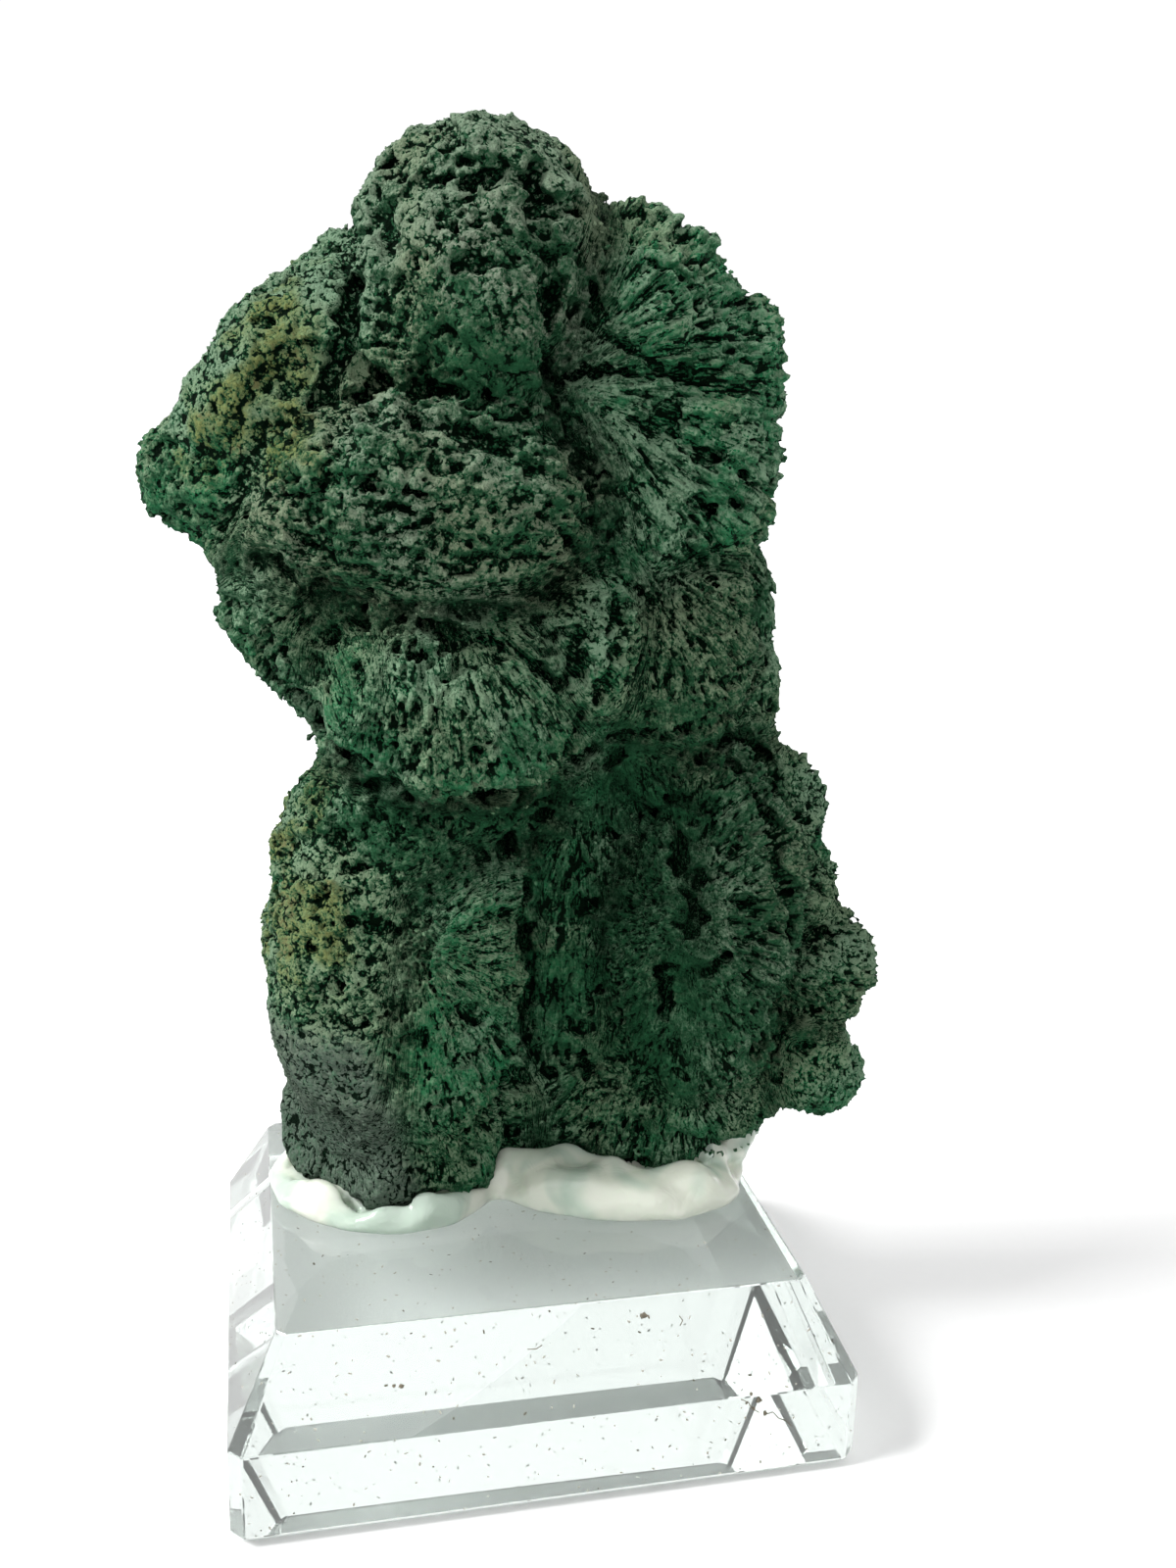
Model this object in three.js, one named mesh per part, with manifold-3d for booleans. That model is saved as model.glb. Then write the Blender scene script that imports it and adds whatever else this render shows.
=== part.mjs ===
// Malachite specimen standing in a bead of clear glue on a cut glass display base.
//
// Millimetres, +Z up. The origin is the centre of the base's underside, X runs along
// the front edge to the right and Y runs away from the front. The stone grew as one
// piece, so it is one solid: rounded lobes joined together and broken flat behind.

import * as THREE from 'three';
import { ConvexGeometry } from 'three/addons/geometries/ConvexGeometry.js';
import { mergeVertices } from 'three/addons/utils/BufferGeometryUtils.js';
import Module from 'manifold-3d';

// Driving dimensions

const GAP = 0.3;

const BASE = {
  width: 60,
  depth: 50,
  height: 18.5,
  bandHeight: 9.5,
  bevelInset: 4.6,
  cornerCut: 1.2,
  footCut: 1.0,
};

const GLUE = {
  height: 4.6,
  centre: new THREE.Vector2(-0.5, 5.5),
  // Where the bead's edge meets the glass, seen from above, starting at the left end.
  edge: [
    [-25.2, 9.0], [-25.0, 1.5], [-21.8, -3.2], [-15.4, -6.9], [-9.4, -6.9], [-4.8, -4.4],
    [-2.2, -2.0], [1.2, -5.0], [7.0, -8.0], [14.5, -9.4], [20.6, -8.4], [24.8, -4.0],
    [25.2, 4.0], [23.4, 11.5], [16.0, 16.6], [4.0, 18.6], [-8.0, 18.0], [-18.5, 16.8],
  ],
};

const FOOT_LEVEL = BASE.height + 2 * GAP + 0.9;

// Each lobe: centre, half sizes, turn about X, Y and Z in degrees, how finely it is cut
// into facets, and how many ribs run round its rim when it is a fan.
const LOBES = {
  bodyHigh: { at: [-3.5, 8.0, 97.0], half: [24.5, 11.5, 22], turn: [0, 0, 0], facets: 4 },
  bodyMid: { at: [1.0, 7.5, 76.0], half: [21.5, 11.0, 24], turn: [0, 0, 0], facets: 4 },
  bodyLow: { at: [3.0, 11.0, 46.0], half: [27.0, 10.5, 27], turn: [0, 0, 0], facets: 4 },
  crown: { at: [-4.2, 2.5, 113.0], half: [11.2, 12.5, 12.0], turn: [0, -8, 0], facets: 4 },
  tongue: { at: [-4.0, -5.0, 108.5], half: [7.2, 7.6, 11], turn: [-8, 6, 0], facets: 4 },
  rightFan: { at: [9.8, 1.5, 99.0], half: [15.8, 11.5, 18.8], turn: [0, -6, 6], facets: 5, ribs: 15 },
  midLobe: { at: [-8.8, -3.4, 91.8], half: [16.4, 11.6, 11.2], turn: [0, 4, 0], facets: 4 },
  brightLobe: { at: [4.6, -5.4, 79.4], half: [5.6, 7.6, 8.4], turn: [0, 8, 0], facets: 3 },
  leftShoulder: { at: [-20.0, 4.5, 100.6], half: [9.8, 9.5, 14.4], turn: [0, 38, -12], facets: 4 },
  leftCorner: { at: [-25.0, 6.0, 92.0], half: [10.4, 8.5, 6.8], turn: [0, 6, -16], facets: 4 },
  leftUnder: { at: [-19.0, 4.0, 81.8], half: [8.4, 9.5, 15.4], turn: [0, -32, 0], facets: 3 },
  darkLobe: { at: [14.2, -0.8, 77.8], half: [8.8, 9.2, 9.8], turn: [0, 0, 0], facets: 4, ribs: 11 },
  chin: { at: [-6.8, -3.2, 73.8], half: [13.2, 10.6, 11.8], turn: [0, -10, 0], facets: 4, ribs: 13 },
  backRidge: { at: [23.0, 8.0, 74.5], half: [5.4, 6.5, 16.0], turn: [0, 0, 0], facets: 3 },
  leftMass: { at: [-12.1, 2.6, 46.0], half: [13.2, 11.6, 25.5], turn: [0, 1, 0], facets: 5, ribs: 12 },
  ear: { at: [19.8, 0.0, 46.8], half: [9.6, 8.8, 19.4], turn: [0, 4, -20], facets: 5, ribs: 17 },
  knobHigh: { at: [26.8, 6.5, 58.0], half: [6.8, 7.0, 8.0], turn: [0, 20, 0], facets: 3 },
  knobMid: { at: [30.6, 6.5, 49.4], half: [5.6, 6.4, 7.4], turn: [0, -20, 0], facets: 3 },
  knobOut: { at: [34.3, 5.0, 40.8], half: [6.6, 6.8, 7.0], turn: [0, 0, 0], facets: 3 },
  knobLow: { at: [32.8, 4.2, 29.8], half: [6.8, 6.6, 5.6], turn: [0, 0, 0], facets: 3 },
  footRight: { at: [17.4, 4.0, 26.6], half: [11.8, 8.8, 9.2], turn: [0, 0, 0], facets: 4, ribs: 12 },
  footLeft: { at: [-12.6, 3.8, 26.0], half: [12.2, 9.6, 10.5], turn: [0, 0, 0], facets: 4 },
  footMid: { at: [4.0, 9.0, 28.0], half: [16, 8.5, 9.6], turn: [0, 0, 0], facets: 3 },
};

// Broken faces: a point on the face and the way it looks. Stone outside it is cut off.
const BREAKS = {
  lowerLeft: { at: [-19.6, 1.4, 31.0], faces: [-0.78, -0.62, 0.08], only: 'footLeft' },
  backUpper: { at: [-4.0, 14.6, 92.0], faces: [-0.12, 0.97, 0.14] },
  backLower: { at: [2.0, 16.2, 48.0], faces: [0.13, 0.98, -0.05] },
  under: { at: [0, 0, FOOT_LEVEL], faces: [0, 0, -1] },
};

const MATERIALS = {
  stone: new THREE.MeshStandardMaterial({ color: 0x1f4a37, roughness: 0.85, metalness: 0 }),
  glue: new THREE.MeshStandardMaterial({ color: 0xd7d2be, roughness: 0.35, metalness: 0 }),
  glass: new THREE.MeshStandardMaterial({ color: 0xdde6e2, roughness: 0.05, metalness: 0 }),
};

// Solids for joining and cutting

const wasm = await Module();
wasm.setup();

/** Turns a closed geometry into a solid that can be joined and cut. */
function toSolid(geometry) {
  const bare = geometry.clone();
  bare.deleteAttribute('normal');
  bare.deleteAttribute('uv');
  const joined = mergeVertices(bare, 1e-4);
  return new wasm.Manifold(new wasm.Mesh({
    numProp: 3,
    vertProperties: new Float32Array(joined.attributes.position.array),
    triVerts: new Uint32Array(joined.index.array),
  }));
}

/** Turns a solid back into a geometry. */
function toGeometry(solid) {
  const mesh = solid.getMesh();
  const geometry = new THREE.BufferGeometry();
  geometry.setAttribute('position', new THREE.BufferAttribute(mesh.vertProperties, mesh.numProp));
  geometry.setIndex(new THREE.BufferAttribute(mesh.triVerts, 1));
  geometry.computeVertexNormals();
  return geometry;
}

// Stone

/** Low rounded swellings on a unit sphere, different for each seed. */
function swelling(dir, seed) {
  const a = Math.sin(5.1 * dir.x + 1.7 * seed) * Math.sin(4.3 * dir.z + 2.3 * seed);
  const b = Math.sin(8.7 * dir.z + 0.9 * seed + 3.1 * dir.y) * Math.sin(7.9 * dir.x - 1.3 * seed);
  return 0.035 * a + 0.022 * b;
}

/** One lobe of the stone, swollen by extra on every side. */
function lobeGeometry(lobe, seed, extra = 0) {
  const geometry = new THREE.IcosahedronGeometry(1, lobe.facets);
  const points = geometry.attributes.position;
  const dir = new THREE.Vector3();
  for (let i = 0; i < points.count; i += 1) {
    dir.fromBufferAttribute(points, i).normalize();
    let reach = 1 + swelling(dir, seed);
    if (lobe.ribs) {
      const round = Math.atan2(dir.z, dir.x);
      const rim = Math.hypot(dir.x, dir.z);
      reach += 0.022 * rim * rim * Math.cos(lobe.ribs * round + seed);
    }
    points.setXYZ(
      i,
      dir.x * (reach * lobe.half[0] + extra),
      dir.y * (reach * lobe.half[1] + extra),
      dir.z * (reach * lobe.half[2] + extra),
    );
  }
  const [rx, ry, rz] = lobe.turn.map(THREE.MathUtils.degToRad);
  geometry.applyMatrix4(new THREE.Matrix4().makeRotationFromEuler(new THREE.Euler(rx, ry, rz)));
  geometry.translate(...lobe.at);
  return geometry;
}

/** The block of space that lies outside a broken face, moved out by extra. */
function outsideOf({ at, faces }, extra = 0) {
  const size = 260;
  const block = new THREE.BoxGeometry(size, size, size);
  block.translate(0, 0, size / 2 + extra);
  const way = new THREE.Vector3(...faces).normalize();
  block.applyQuaternion(new THREE.Quaternion().setFromUnitVectors(new THREE.Vector3(0, 0, 1), way));
  block.translate(...at);
  return toSolid(block);
}

/** The whole stone as one solid, swollen by extra on every side. */
function stoneSolid(extra = 0) {
  const lobes = Object.entries(LOBES).map(([name, lobe], seed) => {
    const solid = toSolid(lobeGeometry(lobe, seed, extra));
    const cut = Object.values(BREAKS).find((face) => face.only === name);
    return cut ? solid.subtract(outsideOf(cut, extra)) : solid;
  });
  let stone = lobes.reduce((sum, lobe) => sum.add(lobe));
  for (const face of Object.values(BREAKS)) {
    if (!face.only) {
      stone = stone.subtract(outsideOf(face, extra));
    }
  }
  return stone;
}

// Glue

/** The bead of glue round the stone's foot, with the foot's own shape left out of it. */
function glueGeometry() {
  const bottom = BASE.height + GAP;
  const side = [[0, 0], [0.965, 0], [1, 0.16], [0.985, 0.36], [0.93, 0.62], [0.86, 0.82], [0.76, 0.95], [0.6, 1], [0, 1]]
    .map(([across, up]) => new THREE.Vector2(across, up * (GLUE.height - GAP)));
  const bead = new THREE.LatheGeometry(side, 60);
  bead.rotateX(Math.PI / 2);
  const edge = new THREE.CatmullRomCurve3(
    GLUE.edge.map(([x, y]) => new THREE.Vector3(x - GLUE.centre.x, y - GLUE.centre.y, 0)),
    true,
  ).getPoints(360).map((point) => [Math.atan2(point.y, point.x), Math.hypot(point.x, point.y)]);
  const points = bead.attributes.position;
  for (let i = 0; i < points.count; i += 1) {
    const x = points.getX(i);
    const y = points.getY(i);
    const round = Math.atan2(y, x);
    const reach = nearestReach(edge, round);
    points.setXYZ(i, GLUE.centre.x + x * reach, GLUE.centre.y + y * reach, bottom + points.getZ(i));
  }
  return toGeometry(toSolid(bead).subtract(stoneSolid(GAP)));
}

/** How far the bead's edge is from its centre in one direction. */
function nearestReach(edge, round) {
  let best = edge[0];
  let least = Infinity;
  for (const sample of edge) {
    const away = Math.abs(Math.atan2(Math.sin(sample[0] - round), Math.cos(sample[0] - round)));
    if (away < least) {
      least = away;
      best = sample;
    }
  }
  return best[1];
}

// Glass base

/** The corners of a level ring of the base, pulled in from its full size, corners cut off. */
function ring(z, inset, cut) {
  const x = BASE.width / 2 - inset;
  const y = BASE.depth / 2 - inset;
  const corners = [[x - cut, y], [x, y - cut]];
  return corners.flatMap(([cx, cy]) => [
    new THREE.Vector3(cx, cy, z),
    new THREE.Vector3(-cx, cy, z),
    new THREE.Vector3(cx, -cy, z),
    new THREE.Vector3(-cx, -cy, z),
  ]);
}

/** The glass block: upright band, four bevels up to the top face, corners and foot eased. */
function baseGeometry() {
  return new ConvexGeometry([
    ...ring(0, BASE.footCut, BASE.cornerCut),
    ...ring(BASE.footCut, 0, BASE.cornerCut),
    ...ring(BASE.bandHeight, 0, BASE.cornerCut),
    ...ring(BASE.height, BASE.bevelInset, BASE.cornerCut * 0.7),
  ]);
}

// Assembly

/** A named piece of the specimen. */
function piece(name, geometry, material) {
  const mesh = new THREE.Mesh(geometry, material);
  mesh.name = name;
  return mesh;
}

const specimen = new THREE.Group();
specimen.name = 'malachite_specimen';
specimen.add(
  piece('glass_base', baseGeometry(), MATERIALS.glass),
  piece('glue_bed', glueGeometry(), MATERIALS.glue),
  piece('malachite', toGeometry(stoneSolid()), MATERIALS.stone),
);

export default specimen;
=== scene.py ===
"""Looks of a malachite specimen glued upright on a cut glass display base.

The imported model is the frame: glass_base, glue_bed and malachite, in metres, +Z up, with the
origin at the centre of the base's underside. Sizes in this file are millimetres unless a name
says otherwise, and every mesh is turned into metres when it is made.
"""

import itertools
import logging
import math
from dataclasses import dataclass, field
from enum import Enum
from typing import Union

import bmesh
import bpy
import numpy as np
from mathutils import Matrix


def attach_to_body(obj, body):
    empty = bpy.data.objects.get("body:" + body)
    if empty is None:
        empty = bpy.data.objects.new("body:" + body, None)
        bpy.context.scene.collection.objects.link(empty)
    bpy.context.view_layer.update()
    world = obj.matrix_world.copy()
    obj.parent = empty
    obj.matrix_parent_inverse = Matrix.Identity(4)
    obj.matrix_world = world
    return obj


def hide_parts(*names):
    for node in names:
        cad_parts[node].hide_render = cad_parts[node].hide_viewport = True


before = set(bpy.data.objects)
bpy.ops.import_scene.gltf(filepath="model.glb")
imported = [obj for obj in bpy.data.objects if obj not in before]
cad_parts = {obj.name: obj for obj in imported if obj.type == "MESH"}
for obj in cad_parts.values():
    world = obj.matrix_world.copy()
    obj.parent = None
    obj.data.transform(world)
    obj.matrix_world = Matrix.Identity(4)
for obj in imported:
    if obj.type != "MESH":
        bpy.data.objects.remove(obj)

import openvdb as vdb
from mathutils import Matrix, Vector

MM = 0.001
SAME_SPOT = 1e-6  # Points closer than this many metres are one
LOG = logging.getLogger("malachite")

Colour = tuple[float, float, float]
Point = tuple[float, float, float]
Term = Union[float, Colour, "Sock"]


class Node(Enum):
    """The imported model's pieces."""

    GLASS = "glass_base"
    GLUE = "glue_bed"
    STONE = "malachite"


# Noise


class Tile:
    """A cube of noise that repeats in every direction and is read at any point.

    It has SIDE values each way, which hold CELLS cells.
    """

    SIDE = 128
    CELLS = 16

    def __init__(self, values: np.ndarray) -> None:
        """Keeps the values as one flat row.

        Args:
            values: A cube of SIDE values each way.
        """
        self.values = np.ascontiguousarray(values, np.float32).ravel()

    def at(self, points: np.ndarray) -> np.ndarray:
        """Reads the tile between its stored values.

        Args:
            points: Places in cells, one row each.

        Returns:
            One value a place.
        """
        spot = points.astype(np.float32) * (self.SIDE / self.CELLS)
        low = np.floor(spot)
        part = spot - low
        low = low.astype(np.int32)
        mask = self.SIDE - 1
        x0, y0, z0 = ((low[:, k] & mask) for k in range(3))
        x1, y1, z1 = (((low[:, k] + 1) & mask) for k in range(3))
        x0, x1 = x0 * self.SIDE * self.SIDE, x1 * self.SIDE * self.SIDE
        y0, y1 = y0 * self.SIDE, y1 * self.SIDE
        fx, fy, fz = part[:, 0], part[:, 1], part[:, 2]
        take = self.values.take
        near = self._blend(self._blend(take(x0 + y0 + z0), take(x0 + y0 + z1), fz),
                           self._blend(take(x0 + y1 + z0), take(x0 + y1 + z1), fz), fy)
        far = self._blend(self._blend(take(x1 + y0 + z0), take(x1 + y0 + z1), fz),
                          self._blend(take(x1 + y1 + z0), take(x1 + y1 + z1), fz), fy)
        return self._blend(near, far, fx)

    @staticmethod
    def _blend(a: np.ndarray, b: np.ndarray, part: np.ndarray) -> np.ndarray:
        """Goes from a to b by part."""
        return a + (b - a) * part

    @classmethod
    def cloud(cls, seed: int) -> "Tile":
        """Smooth noise with a mean of 0 and a spread of 1.

        Args:
            seed: The random seed.

        Returns:
            The noise.
        """
        rng = np.random.default_rng(seed)
        few = np.fft.fftshift(np.fft.fftn(rng.standard_normal((cls.CELLS,) * 3)))
        wide = np.zeros((cls.SIDE,) * 3, complex)
        start = (cls.SIDE - cls.CELLS) // 2
        part = slice(start, start + cls.CELLS)
        wide[part, part, part] = few
        values = np.fft.ifftn(np.fft.ifftshift(wide)).real
        return cls((values - values.mean()) / values.std())

    @classmethod
    def cells(cls, seed: int) -> "tuple[Tile, Tile]":
        """Cells grown from scattered seeds.

        Args:
            seed: The random seed.

        Returns:
            Rounded cells, about 0.5 in the middle of each and falling to creases between them,
            and the same cells as flat faces, each tilted its own way.
        """
        rng = np.random.default_rng(seed)
        seeds = rng.random((cls.CELLS,) * 3 + (3,)).astype(np.float32)
        tilts = rng.standard_normal((cls.CELLS,) * 3 + (3,)).astype(np.float32)
        tilts /= np.sqrt((tilts * tilts).sum(axis=-1, keepdims=True))
        axis = np.arange(cls.SIDE, dtype=np.float32) * (cls.CELLS / cls.SIDE)
        home = np.floor(axis).astype(int)
        part = axis - home
        nearest = np.full((cls.SIDE,) * 3, np.inf, np.float32)
        face = np.zeros((cls.SIDE,) * 3, np.float32)
        for i, j, k in itertools.product((-1, 0, 1), repeat=3):
            a, b, c = ((home + step) % cls.CELLS for step in (i, j, k))
            spot = seeds[a][:, b][:, :, c]
            tilt = tilts[a][:, b][:, :, c]
            dx = spot[..., 0] + i - part[:, None, None]
            dy = spot[..., 1] + j - part[None, :, None]
            dz = spot[..., 2] + k - part[None, None, :]
            away = dx * dx + dy * dy + dz * dz
            lean = dx * tilt[..., 0] + dy * tilt[..., 1] + dz * tilt[..., 2]
            face = np.where(away < nearest, lean, face)
            np.minimum(nearest, away, out=nearest)
        return cls(0.5 - np.sqrt(nearest)), cls(face)


def smooth(low: float, high: float, value: np.ndarray) -> np.ndarray:
    """Goes from 0 at low to 1 at high with soft ends."""
    t = np.clip((value - low) / (high - low), 0.0, 1.0)
    return t * t * (3.0 - 2.0 * t)


# Solids as distances on a grid


@dataclass
class Field:
    """Signed distances on a regular grid, in millimetres, below zero inside.

    Args:
        values: One distance a grid point.
        origin: The first grid point's place.
        step: The distance between grid points.
        reach: How far from the surface the distances are true.
    """

    values: np.ndarray
    origin: np.ndarray
    step: float
    reach: float

    TAIL = 2.5  # How many radii away rounding still looks
    SKIRT = 0.6  # How far a slab reaches down into the one below
    TUCK = 0.12  # How much narrower it is there
    SPARE = 2  # Grid levels kept past the cut, so that the cut face is closed

    @classmethod
    def around(cls, points: np.ndarray, triangles: np.ndarray, step: float, reach: float) -> "Field":
        """Measures a closed mesh.

        Args:
            points: The mesh's points in millimetres.
            triangles: Three point numbers a face.
            step: The distance between grid points.
            reach: How far from the surface distances are wanted.

        Returns:
            The distances, with a margin round the mesh.
        """
        grid = vdb.FloatGrid.createLevelSetFromPolygons(
            points.astype(np.float32),
            triangles=triangles.astype(np.uint32),
            transform=vdb.createLinearTransform(step),
            halfWidth=reach / step,
        )
        low, high = (np.array(corner) for corner in grid.evalActiveVoxelBoundingBox())
        values = np.empty(tuple(high - low + 1), np.float32)
        grid.copyToArray(values, ijk=tuple(int(v) for v in low))
        return cls(values, low * step, step, reach)

    def near(self, reach: float) -> tuple[np.ndarray, np.ndarray]:
        """The grid points close to the surface.

        Args:
            reach: How close.

        Returns:
            Their numbers in the flat grid, and their places.
        """
        chosen = np.flatnonzero(np.abs(self.values.ravel()) < reach)
        spots = np.stack(np.unravel_index(chosen, self.values.shape), axis=1)
        return chosen, (spots * self.step + self.origin).astype(np.float32)

    def places(self) -> np.ndarray:
        """Where all the grid points are.

        Returns:
            Places in millimetres, one row each.
        """
        sides = zip(self.values.shape, self.origin)
        axes = [np.arange(count) * self.step + start for count, start in sides]
        return np.stack(np.meshgrid(*axes, indexing="ij"), axis=-1).reshape(-1, 3).astype(np.float32)

    def softened(self, radius: float) -> "Field":
        """The same solid with its creases and corners rounded.

        Args:
            radius: How wide the rounding is.

        Returns:
            A new field.
        """
        count = max(1, int(math.ceil(self.TAIL * radius / self.step)))
        taps = np.exp(-0.5 * (np.arange(-count, count + 1) * self.step / radius) ** 2)
        taps = (taps / taps.sum()).astype(np.float32)
        values = self.values
        for axis in range(3):
            margin = [(count, count) if k == axis else (0, 0) for k in range(3)]
            padded = np.pad(values, margin, mode="edge")
            total = np.zeros_like(values)
            for shift, tap in enumerate(taps):
                window = [slice(None)] * 3
                window[axis] = slice(shift, shift + values.shape[axis])
                total += tap * padded[tuple(window)]
            values = total
        return Field(values, self.origin, self.step, self.reach)

    def slabs(self, count: int) -> "list[Field]":
        """Cuts the solid into level slabs with about as much surface in each.

        Each slab but the lowest has a slightly narrower skirt that tucks into the one below.

        Args:
            count: How many slabs.

        Returns:
            The slabs, lowest first.
        """
        skin = (np.abs(self.values) < self.step).sum(axis=(0, 1)).cumsum()
        cuts = [int(np.searchsorted(skin, skin[-1] * k / count)) for k in range(1, count)]
        levels = np.arange(self.values.shape[2])
        skirt = max(2, round(self.SKIRT / self.step))
        made = []
        for low, high in zip([0, *cuts], [*cuts, len(levels) - 1]):
            start = max(0, low - skirt - self.SPARE)
            end = min(len(levels), high + self.SPARE + 1)
            part = self.values[:, :, start:end].copy()
            if low > 0:
                part += self.TUCK * np.clip((low + 1 - levels[start:end]) / 2.0, 0.0, 1.0)
                part = np.maximum(part, (low - skirt - levels[start:end]) * self.step)
            if end < len(levels):
                part = np.maximum(part, (levels[start:end] - high) * self.step)
            origin = self.origin + np.array([0.0, 0.0, start * self.step])
            made.append(Field(part.astype(np.float32), origin, self.step, self.reach))
        return made

    def at(self, points: np.ndarray) -> np.ndarray:
        """Reads the field between its grid points.

        Args:
            points: Places in millimetres.

        Returns:
            One distance a place.
        """
        limit = np.array(self.values.shape) - 1.001  # Just short of the last grid point
        spot = np.clip((points - self.origin) / self.step, 0, limit)
        low = spot.astype(np.int32)
        part = (spot - low).astype(np.float32)
        total = np.zeros(len(points), np.float32)
        for corner in range(8):
            way = np.array([(corner >> k) & 1 for k in range(3)])
            share = np.prod(np.where(way, part, 1.0 - part), axis=1)
            place = low + way
            total += share * self.values[place[:, 0], place[:, 1], place[:, 2]]
        return total

    def surface(self) -> tuple[np.ndarray, np.ndarray]:
        """Turns the field into a closed mesh.

        Returns:
            Its points in millimetres, and four point numbers a face.
        """
        grid = vdb.FloatGrid(self.reach)
        grid.copyFromArray(self.values, ijk=(0, 0, 0), tolerance=0)
        grid.transform = vdb.createLinearTransform(self.step)
        grid.gridClass = vdb.GridClass.LEVEL_SET
        points, _, quads = grid.convertToPolygons(isovalue=0.0, adaptivity=0.0)
        return points + self.origin, quads.astype(np.int64)[:, ::-1]


# Meshes


def without_crumbs(points: np.ndarray, faces: np.ndarray, least: int) -> tuple[np.ndarray, np.ndarray]:
    """Leaves out the small bits of a mesh that hang on nothing.

    Args:
        points: Places, one row each.
        faces: Point numbers, one row a face.
        least: The fewest faces that a bit may have.

    Returns:
        The points and faces that are left.
    """
    label = np.arange(len(points))
    ends = np.concatenate([faces[:, [k, (k + 1) % faces.shape[1]]] for k in range(faces.shape[1])])
    joined = False
    while not joined:
        a, b = label[ends[:, 0]], label[ends[:, 1]]
        np.minimum.at(label, np.maximum(a, b), np.minimum(a, b))
        while (label[label] != label).any():
            label = label[label]
        joined = bool((label[ends[:, 0]] == label[ends[:, 1]]).all())
    owner = label[faces[:, 0]]
    faces = faces[np.bincount(owner, minlength=len(points))[owner] >= least]
    used, numbers = np.unique(faces, return_inverse=True)
    return points[used], numbers.reshape(faces.shape)


def cad_mesh(node: Node) -> tuple[np.ndarray, np.ndarray]:
    """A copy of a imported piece's mesh, merged, in millimetres.

    Args:
        node: The piece.

    Returns:
        Its points, and three point numbers a face.
    """
    work = bmesh.new()
    work.from_mesh(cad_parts[node.value].data)
    bmesh.ops.remove_doubles(work, verts=work.verts, dist=SAME_SPOT)
    bmesh.ops.triangulate(work, faces=work.faces)
    points = np.array([vert.co for vert in work.verts]) / MM
    work.verts.index_update()
    faces = np.array([[vert.index for vert in face.verts] for face in work.faces])
    work.free()
    return points, faces


def make_object(name: str, points: np.ndarray, faces: np.ndarray) -> bpy.types.Object:
    """Makes a smooth-shaded mesh object from faces that all have the same number of corners.

    Args:
        name: The object's name.
        points: Places in millimetres.
        faces: Point numbers, one row a face.

    Returns:
        The object, at the origin.
    """
    mesh = bpy.data.meshes.new(name)
    corners = faces.shape[1]
    mesh.vertices.add(len(points))
    mesh.vertices.foreach_set("co", (points * MM).astype(np.float32).ravel())
    mesh.loops.add(faces.size)
    mesh.loops.foreach_set("vertex_index", faces.astype(np.int32).ravel())
    mesh.polygons.add(len(faces))
    mesh.polygons.foreach_set("loop_start", np.arange(0, faces.size, corners, dtype=np.int32))
    mesh.update(calc_edges=True)
    mesh.validate()
    mesh.shade_smooth()
    thing = bpy.data.objects.new(name, mesh)
    bpy.context.scene.collection.objects.link(thing)
    return thing


def settle(thing: bpy.types.Object) -> None:
    """Turns an object's modifiers into its plain mesh.

    Args:
        thing: The object.
    """
    ready = thing.evaluated_get(bpy.context.evaluated_depsgraph_get())
    mesh = bpy.data.meshes.new_from_object(ready)
    old = thing.data
    thing.modifiers.clear()
    thing.data = mesh
    mesh.name = thing.name
    bpy.data.meshes.remove(old)


def thin_out(thing: bpy.types.Object, most: int) -> None:
    """Merges the faces that matter least until a mesh is light enough.

    Args:
        thing: The object.
        most: The most triangles that it may have.
    """
    triangles = sum(len(face.vertices) - 2 for face in thing.data.polygons)
    if triangles > most:
        modifier = thing.modifiers.new("Decimate", "DECIMATE")
        modifier.ratio = most / triangles
        settle(thing)
        thing.data.shade_smooth()


def point_places(thing: bpy.types.Object) -> np.ndarray:
    """Where a mesh's points are.

    Args:
        thing: The mesh's object.

    Returns:
        Places in millimetres, one row each.
    """
    spots = np.empty(len(thing.data.vertices) * 3, np.float32)
    thing.data.vertices.foreach_get("co", spots)
    return spots.reshape(-1, 3) / MM


def point_normals(thing: bpy.types.Object) -> np.ndarray:
    """Which way a mesh's surface faces at each point.

    Args:
        thing: The mesh's object.

    Returns:
        Directions, one row each.
    """
    ways = np.empty(len(thing.data.vertices) * 3, np.float32)
    thing.data.vertices.foreach_get("normal", ways)
    return ways.reshape(-1, 3)


def give(thing: bpy.types.Object, name: str, values: np.ndarray) -> None:
    """Stores one number or vector a point on a mesh, for its material.

    Args:
        thing: The object.
        name: The attribute's name.
        values: One row a point.
    """
    if values.ndim == 1:
        layer = thing.data.attributes.new(name, "FLOAT", "POINT")
        layer.data.foreach_set("value", values.astype(np.float32))
    else:
        layer = thing.data.attributes.new(name, "FLOAT_VECTOR", "POINT")
        layer.data.foreach_set("vector", values.astype(np.float32).ravel())


# Shader maths


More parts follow.
